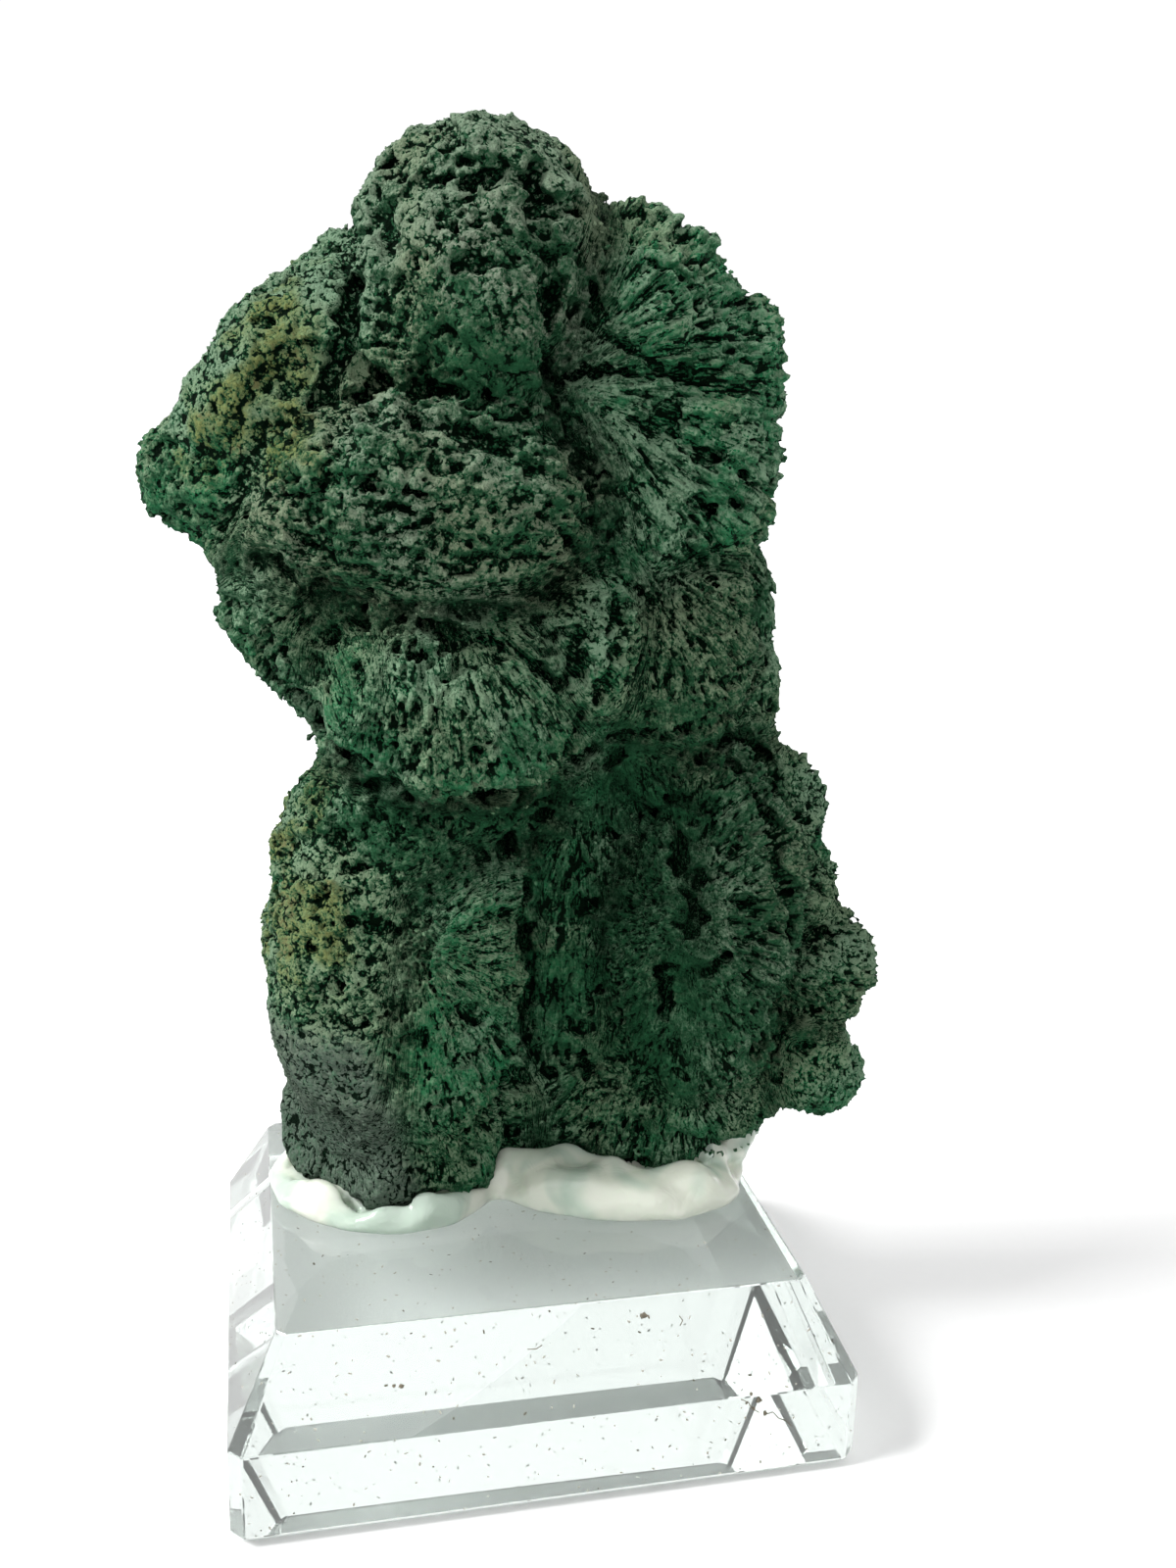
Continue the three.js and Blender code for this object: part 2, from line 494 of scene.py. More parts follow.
class Sock:
    """A shader value that can be written into sums as a number is."""

    def __init__(self, paint: "Paint", socket: bpy.types.NodeSocket) -> None:
        """Keeps the socket and the material it is in."""
        self.paint = paint
        self.socket = socket

    def _math(self, operation: str, a: Term, b: Term) -> "Sock":
        """Adds a Math node."""
        node = self.paint.add("ShaderNodeMath", {0: a, 1: b}, operation=operation)
        return Sock(self.paint, node.outputs[0])

    def __add__(self, other: Term) -> "Sock":
        """The sum."""
        return self._math("ADD", self, other)

    __radd__ = __add__

    def __sub__(self, other: Term) -> "Sock":
        """The difference."""
        return self._math("SUBTRACT", self, other)

    def __rsub__(self, other: Term) -> "Sock":
        """The difference, the other way round."""
        return self._math("SUBTRACT", other, self)

    def __mul__(self, other: Term) -> "Sock":
        """The product."""
        return self._math("MULTIPLY", self, other)

    __rmul__ = __mul__

    def most(self, other: Term) -> "Sock":
        """The greater of two values."""
        return self._math("MAXIMUM", self, other)

    def ramp(self, low: float, high: float, start: float = 0.0, end: float = 1.0) -> "Sock":
        """Goes softly from start to end as the value goes from low to high.

        Args:
            low: Where the change starts.
            high: Where it ends.
            start: The result before it.
            end: The result after it.

        Returns:
            The new value.
        """
        feeds = dict(enumerate((self, low, high, start, end)))
        node = self.paint.add("ShaderNodeMapRange", feeds, interpolation_type="SMOOTHSTEP")
        return Sock(self.paint, node.outputs[0])


class Paint:
    """A material under construction: a Principled shader and the nodes that feed it."""

    def __init__(self, name: str) -> None:
        """Starts an empty material with a Principled shader.

        Args:
            name: The material's name.
        """
        self.material = bpy.data.materials.new(name)
        self.material.use_nodes = True
        self.nodes = self.material.node_tree.nodes
        self.links = self.material.node_tree.links
        self.nodes.clear()
        self.output = self.add("ShaderNodeOutputMaterial")
        self.shader = self.add("ShaderNodeBsdfPrincipled")
        self.links.new(self.shader.outputs[0], self.output.inputs["Surface"])

    def add(
        self, kind: str, feeds: dict[Union[str, int], Term] | None = None, **settings: object,
    ) -> bpy.types.Node:
        """Adds a node.

        Args:
            kind: The node's type name.
            feeds: What goes into its inputs, by name or number.
            settings: Its properties, which are set first.

        Returns:
            The node.
        """
        node = self.nodes.new(kind)
        for name, value in settings.items():
            setattr(node, name, value)
        for name, term in (feeds or {}).items():
            self.feed(node.inputs[name], term)
        return node

    def feed(self, slot: bpy.types.NodeSocket, term: Term) -> None:
        """Links a value to a socket, or sets it there if it is constant.

        Args:
            slot: The input.
            term: What goes in.
        """
        if isinstance(term, Sock):
            self.links.new(term.socket, slot)
        elif isinstance(term, tuple) and slot.type == "RGBA":
            slot.default_value = (*term, 1.0)
        else:
            slot.default_value = term

    def set(self, **inputs: Term) -> None:
        """Feeds the Principled shader's inputs, named with underscores for spaces."""
        for name, term in inputs.items():
            label = name.replace("_", " ").title().replace("Ior", "IOR")
            self.feed(self.shader.inputs[label], term)

    def place(self) -> Sock:
        """Object coordinates."""
        return Sock(self, self.add("ShaderNodeTexCoord").outputs["Object"])

    def stored(self, name: str, output: str = "Fac") -> Sock:
        """A number that the mesh stores at its points, or a vector from the output Vector."""
        return Sock(self, self.add("ShaderNodeAttribute", attribute_name=name).outputs[output])

    def noise(
        self, where: Sock, scale: float, detail: float = 3.0, rough: float = 0.55, skew: float = 0.0,
    ) -> Sock:
        """Cloudy noise.

        Args:
            where: The coordinates.
            scale: Cells a unit of them.
            detail: How many finer layers are added.
            rough: How strong the finer layers are.
            skew: How far the noise is pushed about by itself.

        Returns:
            A value about 0.5.
        """
        node = self.add("ShaderNodeTexNoise", {
            "Vector": where, "Scale": scale, "Detail": detail, "Roughness": rough, "Distortion": skew,
        })
        return Sock(self, node.outputs["Fac"])

    def cells(self, where: Sock, scale: float) -> Sock:
        """Cell noise.

        Args:
            where: The coordinates.
            scale: Cells a unit of them.

        Returns:
            The distance to the nearest cell's middle.
        """
        node = self.add("ShaderNodeTexVoronoi", {"Vector": where, "Scale": scale})
        return Sock(self, node.outputs["Distance"])

    def mix(self, share: Term, a: Term, b: Term) -> Sock:
        """Mixes two colours.

        Args:
            share: How much of b.
            a: One colour.
            b: The other.

        Returns:
            The mixed colour.
        """
        node = self.add("ShaderNodeMix", {0: share, 6: a, 7: b}, data_type="RGBA")
        return Sock(self, node.outputs[2])

    def bump(self, height: Sock, distance: float, strength: float = 1.0) -> Sock:
        """Small relief.

        Args:
            height: The relief, from 0 to 1.
            distance: Its full height in millimetres.
            strength: How much of it shows.

        Returns:
            The normal.
        """
        node = self.add("ShaderNodeBump", {
            "Strength": strength, "Distance": distance * MM, "Height": height,
        })
        return Sock(self, node.outputs[0])


# Finishes


@dataclass(frozen=True)
class StoneFinish:
    """Green fibrous stone: dust and painted highlight on its high parts, painted shade in its pits.

    Args:
        pit: Painted shade: the near-black put in its pits, creases and low places.
        deep: The stone's dark green in the low parts of its finest relief, partly painted shade there.
        green: Its lighter green on the high parts of that relief.
        fresh: Where it is newly broken.
        dust: The dust on it, which also stands as a painted highlight on its raised points.
        ash: That dust where it is brown.
        moss: That dust round a stain.
        ochre: A stain.
        rust: The darker part of a stain.
        rock: The grey rock.
        drifts: How often the dust drifts, in cells a metre, as the next five are.
        moods: How often the dusty places come and go.
        clouds: Broad unevenness.
        specks: Specks.
        fines: The finest specks.
        grit: Grit.
        streaks: Streaks, in cells of the coordinates that lie along the fibres.
        bundles: Bundles of fibres, in the same.
        threads: Single fibres, in the same.
        relief: How high the finest relief is, in millimetres.
    """

    pit: Colour = (0.0006, 0.006, 0.002)
    deep: Colour = (0.003, 0.026, 0.009)
    green: Colour = (0.018, 0.09, 0.038)
    fresh: Colour = (0.017, 0.145, 0.056)
    dust: Colour = (0.185, 0.305, 0.195)
    ash: Colour = (0.205, 0.22, 0.17)
    moss: Colour = (0.165, 0.225, 0.09)
    ochre: Colour = (0.17, 0.175, 0.05)
    rust: Colour = (0.15, 0.085, 0.04)
    rock: Colour = (0.105, 0.13, 0.108)
    drifts: float = 75.0
    moods: float = 120.0
    clouds: float = 190.0
    specks: float = 700.0
    fines: float = 2700.0
    grit: float = 3300.0
    streaks: float = 2.5
    bundles: float = 1.9
    threads: float = 4.4
    relief: float = 0.4

    def material(self) -> bpy.types.Material:
        """Builds the material.

        Returns:
            The material.
        """
        paint = Paint("malachite")
        place = paint.place()
        along = paint.stored("along", "Vector")
        # Grains count as raised, so they get less painted shade and more painted highlight
        proud = paint.stored("proud") + paint.stored("tip") * 0.22
        names = ("fresh", "dusty", "ashy", "stain", "rock")
        fresh, dusty, ashy, stain, rock = (paint.stored(name) for name in names)

        # Patterns, from the broadest to the finest
        drifts = paint.noise(place, self.drifts, detail=2.0, rough=0.5).ramp(0.42, 0.62)
        mood = paint.noise(place, self.moods, detail=2.0, rough=0.6, skew=0.6).ramp(0.36, 0.6)
        clouds = paint.noise(place, self.clouds, detail=3.0, rough=0.6).ramp(0.35, 0.65)
        specks = paint.noise(place, self.specks, detail=4.0, rough=0.7).ramp(0.36, 0.64)
        fines = paint.noise(place, self.fines, detail=3.0, rough=0.7).ramp(0.38, 0.62)
        grit = paint.cells(place, self.grit)
        streak = paint.noise(along, self.streaks, detail=4.0, rough=0.65).ramp(0.36, 0.64)
        bundle = paint.cells(along, self.bundles)
        thread = paint.cells(along, self.threads)

        # The finest relief, and how far each place stands in the open, which sets the painted shade and
        # painted highlights below
        # Painted shade in the creases between fibre bundles and single fibres
        fibre_gap_shade = bundle.ramp(0.5, 0.8).most(thread.ramp(0.5, 0.85) * 0.75)
        micro = (1.0 - bundle) * 0.32 + (1.0 - thread) * 0.28 + (1.0 - grit) * 0.28
        micro = micro + streak * 0.2 + fines * 0.28
        open_air = proud * 0.75 + micro * 1.2 - fibre_gap_shade * 0.62 - 0.43

        # The stone's greens, darker in the low places of the finest relief as painted shade, and varied at
        # random by specks
        green = paint.mix(micro * 0.6 + specks * 0.4, self.deep, self.green)
        lively = fresh * (1.3 - mood * 0.6) * (clouds * 0.4 + streak * 0.5 + specks * 0.3)
        green = paint.mix(lively.ramp(0.1, 0.7), green, self.fresh)

        # Dust on what stands in the open, also a painted highlight on the raised points of the finest relief
        film = dusty * (mood * 0.6 + 0.65) * open_air.ramp(0.42, 0.74)
        film = film * (specks * 0.45 + fines * 0.6 + clouds * 0.2 + streak * 0.4)
        dust = paint.mix(ashy * 0.8 + drifts * 0.2, self.dust, self.ash)
        dust = paint.mix(stain.most(drifts * 0.3), dust, self.moss)
        colour = paint.mix(film.ramp(0.06, 0.6, 0.0, 0.95), green, dust)

        # Stains, bare rock, and painted shade in pits, creases and low places
        earth = paint.mix(clouds.ramp(0.5, 0.8), self.ochre, self.rust)
        soiled = (stain * (specks * 0.5 + fines * 0.5)).ramp(0.25, 0.9, 0.0, 0.5)
        colour = paint.mix(soiled, colour, earth)
        colour = paint.mix(rock * (fines * 0.35 + 0.6), colour, self.rock)
        # Painted shade: near-black where a place stands little in the open
        colour = paint.mix(open_air.ramp(0.24, 0.44, 1.0, 0.0), colour, self.pit)
        paint.set(base_color=colour, roughness=0.8 - fresh * 0.15, specular_ior_level=0.04)
        paint.set(normal=paint.bump(micro, self.relief))
        return paint.material


@dataclass(frozen=True)
class GlueFinish:
    """Milky set glue, clearer in places.

    Args:
        milk: Where it is milky.
        clear: Where it is clearer.
        clouds: How often that changes, in cells a metre.
        folds: How often its surface folds, in cells a metre.
        glow: How far light spreads in it, in millimetres.
    """

    milk: Colour = (0.91, 0.96, 0.82)
    clear: Colour = (0.6, 0.73, 0.62)
    clouds: float = 130.0
    folds: float = 420.0
    glow: float = 2.5

    def material(self) -> bpy.types.Material:
        """Builds the material.

        Returns:
            The material.
        """
        paint = Paint("glue")
        place = paint.place()
        clouds = paint.noise(place, self.clouds, detail=2.0, skew=0.8)
        folds = paint.noise(place, self.folds, detail=2.0, skew=1.2)
        paint.set(base_color=paint.mix(clouds.ramp(0.42, 0.62), self.milk, self.clear))
        paint.set(roughness=0.22, IOR=1.47, transmission_weight=0.3, subsurface_weight=0.25)
        paint.set(subsurface_scale=self.glow * MM, subsurface_radius=(0.8, 1.0, 0.8))
        paint.set(coat_weight=0.4, coat_roughness=0.08)
        paint.set(normal=paint.bump(folds * 0.6 + clouds * 0.4, 0.5, 0.5))
        return paint.material


@dataclass(frozen=True)
class GlassFinish:
    """Clear cut glass with a trace of green and a faint film of dust.

    Args:
        tint: The colour of its surface.
        clear: How much of the light goes through, with the rest left to the film of dust.
        depth: The colour that light takes on inside.
        density: How quickly it takes it on, a metre.
    """

    tint: Colour = (0.97, 0.99, 0.98)
    clear: float = 0.94
    depth: Colour = (0.8, 0.95, 0.88)
    density: float = 7.0

    def material(self) -> bpy.types.Material:
        """Builds the material.

        Returns:
            The material.
        """
        paint = Paint("cut_glass")
        paint.set(base_color=self.tint, roughness=0.0, IOR=1.52, transmission_weight=self.clear)
        feeds = {"Color": self.depth, "Density": self.density}
        inside = paint.add("ShaderNodeVolumeAbsorption", feeds)
        paint.links.new(inside.outputs[0], paint.output.inputs["Volume"])
        return paint.material


@dataclass(frozen=True)
class PlainFinish:
    """A plain colour with a faint unevenness, for dust, lint and the studio floor.

    Args:
        name: The material's name.
        colour: One colour.
        other: The colour that it varies towards.
        rough: Its roughness.
        clouds: How often it varies, in cells a metre.
    """

    name: str
    colour: Colour
    other: Colour
    rough: float = 0.9
    clouds: float = 900.0

    def material(self) -> bpy.types.Material:
        """Builds the material.

        Returns:
            The material.
        """
        paint = Paint(self.name)
        cloud = paint.noise(paint.place(), self.clouds)
        paint.set(base_color=paint.mix(cloud, self.colour, self.other), roughness=self.rough)
        return paint.material


# The stone


class Growth(Enum):
    """How a part of the stone grew."""

    FAN = "fibres that spread from a root"
    CRUST = "small rounded grains"
    LEDGE = "flat shelves one above another"


@dataclass(frozen=True)
class Patch:
    """A part of the stone that grew in one way.

    Args:
        at: The middle of the part.
        half: Its half sizes.
        growth: How it grew.
        rise: How far its growth stands out.
        fresh: How bright its green is.
        dusty: How much dust lies on it.
        ashy: How brown that dust is.
        root: Where the fibres of a fan spring from.
        spread: Bundles of fibres a radian round the root.
        run: How long a bundle is before it breaks.
    """

    at: Point
    half: Point
    growth: Growth
    rise: float
    fresh: float
    dusty: float
    ashy: float
    root: Point = (0.0, 0.0, 0.0)
    spread: float = 5.0
    run: float = 6.0

    def outside(self, spots: np.ndarray) -> np.ndarray:
        """About how far each place is outside the part, less than 0 within it.

        Args:
            spots: Places in millimetres.

        Returns:
            Distances in millimetres.
        """
        way = (spots - np.array(self.at, np.float32)) / np.array(self.half, np.float32)
        reach = np.sqrt((way * way).sum(axis=1))
        return (reach - 1.0) * min(self.half)

    def lie(self, spots: np.ndarray, finer: float, shorter: float) -> np.ndarray:
        """Coordinates in which fibres that spring from the root are long and thin.

        Args:
            spots: Places in millimetres.
            finer: How many cells there are across a bundle.
            shorter: How long a cell is, as a share of a bundle.

        Returns:
            The coordinates, in cells.
        """
        way = spots - np.array(self.root, np.float32)
        away = np.sqrt((way * way).sum(axis=1, keepdims=True)) + 0.5
        return way / away * (self.spread * finer) + spots / (self.run * shorter)


RAGGED_COARSE = 1.7  # The size of the noise that frays the edges of gaps and clefts
RAGGED_FINE = 0.8  # The size of its finer part


@dataclass(frozen=True)
class Gap:
    """A deep opening in the growth, dark inside.

    Args:
        at: Its middle on the surface.
        half: Its half sizes.
        deep: How deep it goes.
    """

    at: Point
    half: Point
    deep: float = 2.4

    def depth(self, spots: np.ndarray, cloud: Tile) -> np.ndarray:
        """How much it takes away at each place.

        Args:
            spots: Places in millimetres.
            cloud: Noise that makes its edge ragged.

        Returns:
            Depths in millimetres.
        """
        way = (spots - np.array(self.at, np.float32)) / np.array(self.half, np.float32)
        away = np.sqrt((way * way).sum(axis=1))
        taken = np.zeros(len(spots), np.float32)
        mine = np.flatnonzero(away < 2.2)
        near = spots[mine]
        ragged = 0.42 * cloud.at(near / RAGGED_COARSE + 3.7) + 0.22 * cloud.at(near / RAGGED_FINE)
        taken[mine] = self.deep * smooth(1.05, 0.6, away[mine] + ragged)
        return taken


@dataclass(frozen=True)
class Cleft:
    """A long crease between two growths.

    Args:
        route: The points on the surface that it goes through.
        wide: Half its width.
        deep: How deep it goes.
    """

    route: tuple[Point, ...]
    wide: float
    deep: float

    # Distances from back to front count for less, so that a cleft reaches the surface however
    # far the growth stands out there
    THROUGH = (1.0, 0.3, 1.0)

    def depth(self, spots: np.ndarray, cloud: Tile) -> np.ndarray:
        """How much it takes away at each place.

        Args:
            spots: Places in millimetres.
            cloud: Noise that makes it wander, widen and fade.

        Returns:
            Depths in millimetres.
        """
        through = np.array(self.THROUGH, np.float32)
        stops = np.array(self.route, np.float32) * through
        spots = spots * through
        margin = 2.5 * self.wide
        low, high = stops.min(axis=0) - margin, stops.max(axis=0) + margin
        mine = np.flatnonzero(((spots > low) & (spots < high)).all(axis=1))
        taken = np.zeros(len(spots), np.float32)
        if len(mine):
            near = spots[mine]
            away = np.full(len(mine), np.inf, np.float32)
            for start, end in zip(stops, stops[1:]):
                along = np.clip((near - start) @ (end - start) / ((end - start) ** 2).sum(), 0.0, 1.0)
                gap = near - start - along[:, None] * (end - start)
                np.minimum(away, np.sqrt((gap * gap).sum(axis=1)), out=away)
            ragged = away / self.wide + 0.35 * cloud.at(near / RAGGED_COARSE + 6.6)
            ragged += 0.2 * cloud.at(near / RAGGED_FINE)
            fading = smooth(-1.6, 0.0, cloud.at(near / 4.5 + 9.2))
            taken[mine] = self.deep * fading * smooth(1.5, 0.5, ragged)
        return taken


@dataclass
class Stone:
    """The malachite itself: one grown piece.

    Args:
        step: The distance between the points of the grid that it grows on.
        slabs: How many pieces its surface is made in.
        most_triangles: The most triangles that one of them may have.
        least_faces: The fewest faces that a loose bit of surface may have.
        crease: The radius that the creases between its lobes are rounded to.
        fill: How far below that rounding the creases are filled.
        edge: The radius that its edges are rounded to.
        far: The radius of the wide surroundings that a place is compared with to tell how far it
            stands out.
        close: The radius of the near surroundings that it is compared with.
        lowest: How far its growth may go in.
        highest: How far it may stand out.
        finish: Its material.
        patches: The parts that it grew in.
        gaps: The deep openings between them.
        clefts: The long creases between them.
    """

    step: float = 0.25
    slabs: int = 7
    most_triangles: int = 197_000
    least_faces: int = 160
    crease: float = 2.4
    fill: float = 0.35
    edge: float = 0.8
    far: float = 1.1
    close: float = 0.45
    lowest: float = -2.2
    highest: float = 1.3
    finish: StoneFinish = StoneFinish()
    patches: dict[str, Patch] = field(default_factory=lambda: {
        "crown": Patch(
            (-4.2, 2.5, 113.0), (11.2, 12.5, 12.0), Growth.CRUST,
            rise=0.62, fresh=0.1, dusty=0.85, ashy=0.5,
        ),
        "tongue": Patch(
            (-4.0, -5.0, 108.5), (7.2, 7.6, 11), Growth.CRUST,
            rise=0.6, fresh=0.12, dusty=0.42, ashy=0.95,
        ),
        "right_fan": Patch(
            (9.8, 1.5, 99.0), (15.8, 11.5, 18.8), Growth.FAN,
            rise=1.6, fresh=0.6, dusty=0.65, ashy=0.1, root=(0, -9, 103), spread=5.5, run=7,
        ),
        "mid": Patch(
            (-8.8, -3.4, 91.8), (16.4, 11.6, 11.2), Growth.LEDGE,
            rise=1.0, fresh=0.25, dusty=0.6, ashy=0.65,
        ),
        "bright": Patch(
            (4.6, -5.4, 79.4), (5.6, 7.6, 8.4), Growth.FAN,
            rise=0.8, fresh=0.5, dusty=0.75, ashy=0.1, root=(0, 2, 84), spread=5, run=3,
        ),
        "shoulder": Patch(
            (-20, 4.5, 100.6), (9.8, 9.5, 14.4), Growth.CRUST,
            rise=0.5, fresh=0.35, dusty=1.0, ashy=0.15,
        ),
        "corner": Patch(
            (-25, 6.0, 92.0), (10.4, 8.5, 6.8), Growth.CRUST,
            rise=0.6, fresh=0.5, dusty=0.6, ashy=0.05,
        ),
        "under": Patch(
            (-19.0, 4.0, 81.8), (8.4, 9.5, 15.4), Growth.FAN,
            rise=0.9, fresh=0.35, dusty=0.55, ashy=0.1, root=(-14, 4, 92), spread=4, run=5,
        ),
        "dark": Patch(
            (14.2, -0.8, 77.8), (8.8, 9.2, 9.8), Growth.FAN,
            rise=1.5, fresh=0.15, dusty=0.52, ashy=0.35, root=(9, -6, 88), spread=6, run=4,
        ),
        "chin": Patch(
            (-6.8, -3.2, 73.8), (13.2, 10.6, 11.8), Growth.FAN,
            rise=1.3, fresh=0.5, dusty=0.55, ashy=0.1, root=(-10, -8, 86), spread=6, run=5,
        ),
        "chin_side": Patch(
            (-17.2, -4.5, 76), (5.0, 7, 8.5), Growth.FAN,
            rise=0.6, fresh=0.6, dusty=0.6, ashy=0.0, root=(-21, -5, 86), spread=8, run=7,
        ),
        "ridge": Patch(
            (23.0, 8.0, 74.5), (5.4, 6.5, 16.0), Growth.FAN,
            rise=0.7, fresh=0.2, dusty=0.5, ashy=0.1, root=(20, 8, 92), spread=5, run=9,
        ),
        "neck": Patch(
            (-10.5, 0.0, 61.5), (12.4, 9.4, 6.5), Growth.CRUST,
            rise=1.0, fresh=0.12, dusty=0.25, ashy=0.3,
        ),
        "left_fan": Patch(
            (-6.5, 2.0, 44), (8.0, 11.8, 20), Growth.FAN,
            rise=1.5, fresh=0.85, dusty=0.5, ashy=0.0, root=(-11.5, -9, 51), spread=6, run=6,
        ),
        "left_crust": Patch(
            (-17.4, 3.0, 48), (8.4, 11, 20), Growth.CRUST,
            rise=0.75, fresh=0.4, dusty=0.8, ashy=0.1,
        ),
        "hollow": Patch(
            (9.0, 8.0, 50.0), (14, 9.5, 26), Growth.FAN,
            rise=0.9, fresh=0.3, dusty=0.4, ashy=0.0, root=(7, 0, 74), spread=9, run=9,
        ),
        "ear_side": Patch(
            (12.2, -0.5, 46.5), (5.2, 8.8, 18.8), Growth.FAN,
            rise=0.9, fresh=0.2, dusty=0.25, ashy=0.0, root=(19, -3, 50), spread=6, run=6,
        ),
        "ear": Patch(
            (22.2, 0.0, 46.8), (7.4, 8.8, 19.4), Growth.FAN,
            rise=1.4, fresh=0.15, dusty=0.4, ashy=0.4, root=(12, -3, 51), spread=5, run=5,
        ),
        "knob_high": Patch(
            (26.8, 6.5, 58.0), (6.8, 7.0, 8.0), Growth.FAN,
            rise=0.9, fresh=0.3, dusty=0.6, ashy=0.1, root=(23, 8, 56), spread=4, run=4,
        ),
        "knob_mid": Patch(
            (30.6, 6.5, 49.4), (5.6, 6.4, 7.4), Growth.FAN,
            rise=0.9, fresh=0.4, dusty=0.6, ashy=0.1, root=(26, 8, 50), spread=4, run=4,
        ),
        "knob_out": Patch(
            (34.3, 5.0, 40.8), (6.6, 6.8, 7.0), Growth.FAN,
            rise=1.0, fresh=0.3, dusty=0.75, ashy=0.2, root=(29, 7, 41), spread=4, run=4,
        ),
        "knob_low": Patch(
            (32.8, 4.2, 29.8), (6.8, 6.6, 5.6), Growth.CRUST,
            rise=0.8, fresh=0.8, dusty=0.6, ashy=0.0,
        ),
        "foot_right": Patch(
            (17.4, 4.0, 26.6), (11.8, 8.8, 9.2), Growth.FAN,
            rise=1.0, fresh=0.5, dusty=0.55, ashy=0.0, root=(16, -4, 44), spread=9, run=7,
        ),
        "foot_left": Patch(
            (-12.6, 3.8, 26.0), (12.2, 9.6, 10.5), Growth.FAN,
            rise=0.8, fresh=0.4, dusty=0.5, ashy=0.0, root=(-12, 6, 40), spread=7, run=6,
        ),
    })
    gaps: dict[str, Gap] = field(default_factory=lambda: {
        "under_crown": Gap((-6.5, -7.0, 118.6), (4.6, 4.0, 1.2)),
        "under_crown_right": Gap((0.5, -7.0, 117.2), (2.6, 4.0, 1.0)),
        "beside_crown": Gap((-13.5, -4.5, 114.5), (1.3, 4.0, 2.6)),
        "under_tongue": Gap((-9.5, -8.0, 101.0), (4.6, 4.0, 1.2)),
        "hole_by_tongue": Gap((-14.4, -5.7, 102.3), (1.8, 4.0, 1.6)),
        "beside_tongue": Gap((-0.6, -10.5, 108.5), (1.0, 4.0, 2.4)),
        "beside_tongue_low": Gap((0.2, -11.0, 103.6), (1.3, 4.0, 1.5)),
        "fan_high": Gap((4.3, -7.6, 109.6), (1.7, 4.0, 1.1)),
        "fan_middle": Gap((4.2, -8.8, 102.9), (2.4, 4.0, 0.9)),
        "fan_right": Gap((12.5, -9.2, 103.4), (1.7, 4.0, 0.9)),
        "fan_low": Gap((10.5, -9.6, 98.9), (1.6, 4.0, 1.3)),
        "fan_split": Gap((17.7, -7.3, 92.2), (2.4, 4.0, 1.0)),
        "mid_right": Gap((1.5, -12.5, 88.5), (2.2, 4.0, 0.9)),
        "mid_left": Gap((-14.0, -11.5, 93.5), (2.6, 4.0, 0.8)),
        "chin_high": Gap((-9.6, -12.0, 79.2), (2.4, 4.0, 1.4)),
        "chin_right": Gap((2.6, -12.0, 78.6), (1.2, 4.0, 2.0)),
        "chin_low": Gap((-5.5, -13.0, 71.0), (2.4, 4.0, 1.0)),
        "under_chin": Gap((-4.0, -9.0, 65.5), (4.6, 4.5, 1.5)),
        "above_ear": Gap((20.0, 0.0, 65.8), (3.4, 4.0, 1.5)),
        "beside_ear": Gap((15.4, -6.5, 55.0), (1.5, 5.0, 4.5)),
        "beside_ear_low": Gap((14.2, -6.5, 44.0), (1.6, 5.0, 4.0)),
        "ear_cleft": Gap((20.0, -8.0, 47.5), (2.4, 4.0, 0.7)),
        "foot": Gap((7.7, 1.7, 32.3), (1.9, 4.0, 1.8)),
    })
    clefts: dict[str, Cleft] = field(default_factory=lambda: {
        "crown_ledge": Cleft(((-7.3, -6.8, 120.3), (-3.4, -8.0, 119.3), (0.0, -8.4, 117.5)), 0.7, 1.6),
        "fan_left": Cleft((
            (-1.0, -7.2, 119.7), (-0.3, -10.2, 113.4), (-0.3, -11.5, 107.2),
            (1.8, -8.8, 101.0), (3.2, -9.5, 95.8), (4.3, -10.9, 90.6),
        ), 0.9, 1.7),
        "fan_high": Cleft(((3.7, -8.1, 107.3), (10.5, -9.5, 103.4), (18.5, -7.6, 101.9)), 0.6, 1.5),
        "fan_low": Cleft(((5.3, -9.6, 99.9), (12.6, -9.5, 97.5), (21.8, -4.8, 93.0)), 0.6, 1.5),
        "shoulder_edge": Cleft(((-15.8, -1.0, 110.0), (-16.4, -3.9, 106.9), (-19.2, -5.5, 100.4)), 0.8, 1.8),
        "mid_top": Cleft((
            (-20.7, -8.3, 97.8), (-13.1, -11.1, 99.4), (-5.6, -13.3, 97.1),
            (-0.2, -12.6, 94.6), (2.7, -12.1, 92.0),
        ), 0.7, 1.6),
        "bright_edge": Cleft((
            (6.3, -9.2, 86.4), (6.5, -12.2, 81.2), (4.8, -11.2, 74.1), (2.6, -8.6, 69.2),
        ), 0.8, 1.9),
        "chin_top": Cleft((
            (-15.0, -6.2, 82.3), (-9.4, -10.8, 81.2), (-3.5, -12.0, 79.6), (1.2, -11.3, 75.9),
        ), 0.6, 1.5),
        "under_chin": Cleft((
            (-20.9, -1.3, 73.2), (-15.7, -7.7, 66.6), (-9.0, -10.0, 64.9),
            (0.0, -7.7, 65.3), (5.5, -2.6, 67.7),
        ), 1.2, 2.2),
        "under_dark": Cleft(((8.5, -5.5, 69.2), (16.6, -6.5, 70.6), (21.5, -4.0, 71.5)), 0.9, 2.0),
        "ear_edge": Cleft((
            (21.6, -3.4, 65.5), (24.9, -5.6, 59.4), (24.9, -7.0, 55.8), (27.2, -6.0, 50.9),
            (28.2, -4.5, 46.0), (27.4, -4.5, 42.0), (25.6, -5.0, 39.0), (23.6, -5.8, 36.0),
        ), 0.8, 2.2),
        "left_fan_edge": Cleft((
            (-1.4, -1.4, 58.2), (-0.5, -2.6, 52.4), (1.3, 0.7, 43.7), (1.0, 1.3, 35.8), (3.6, 0.8, 29.1),
        ), 1.0, 1.9),
    })

    cloud: Tile = field(init=False)
    cell: Tile = field(init=False)
    chip: Tile = field(init=False)
    body: Field = field(init=False)

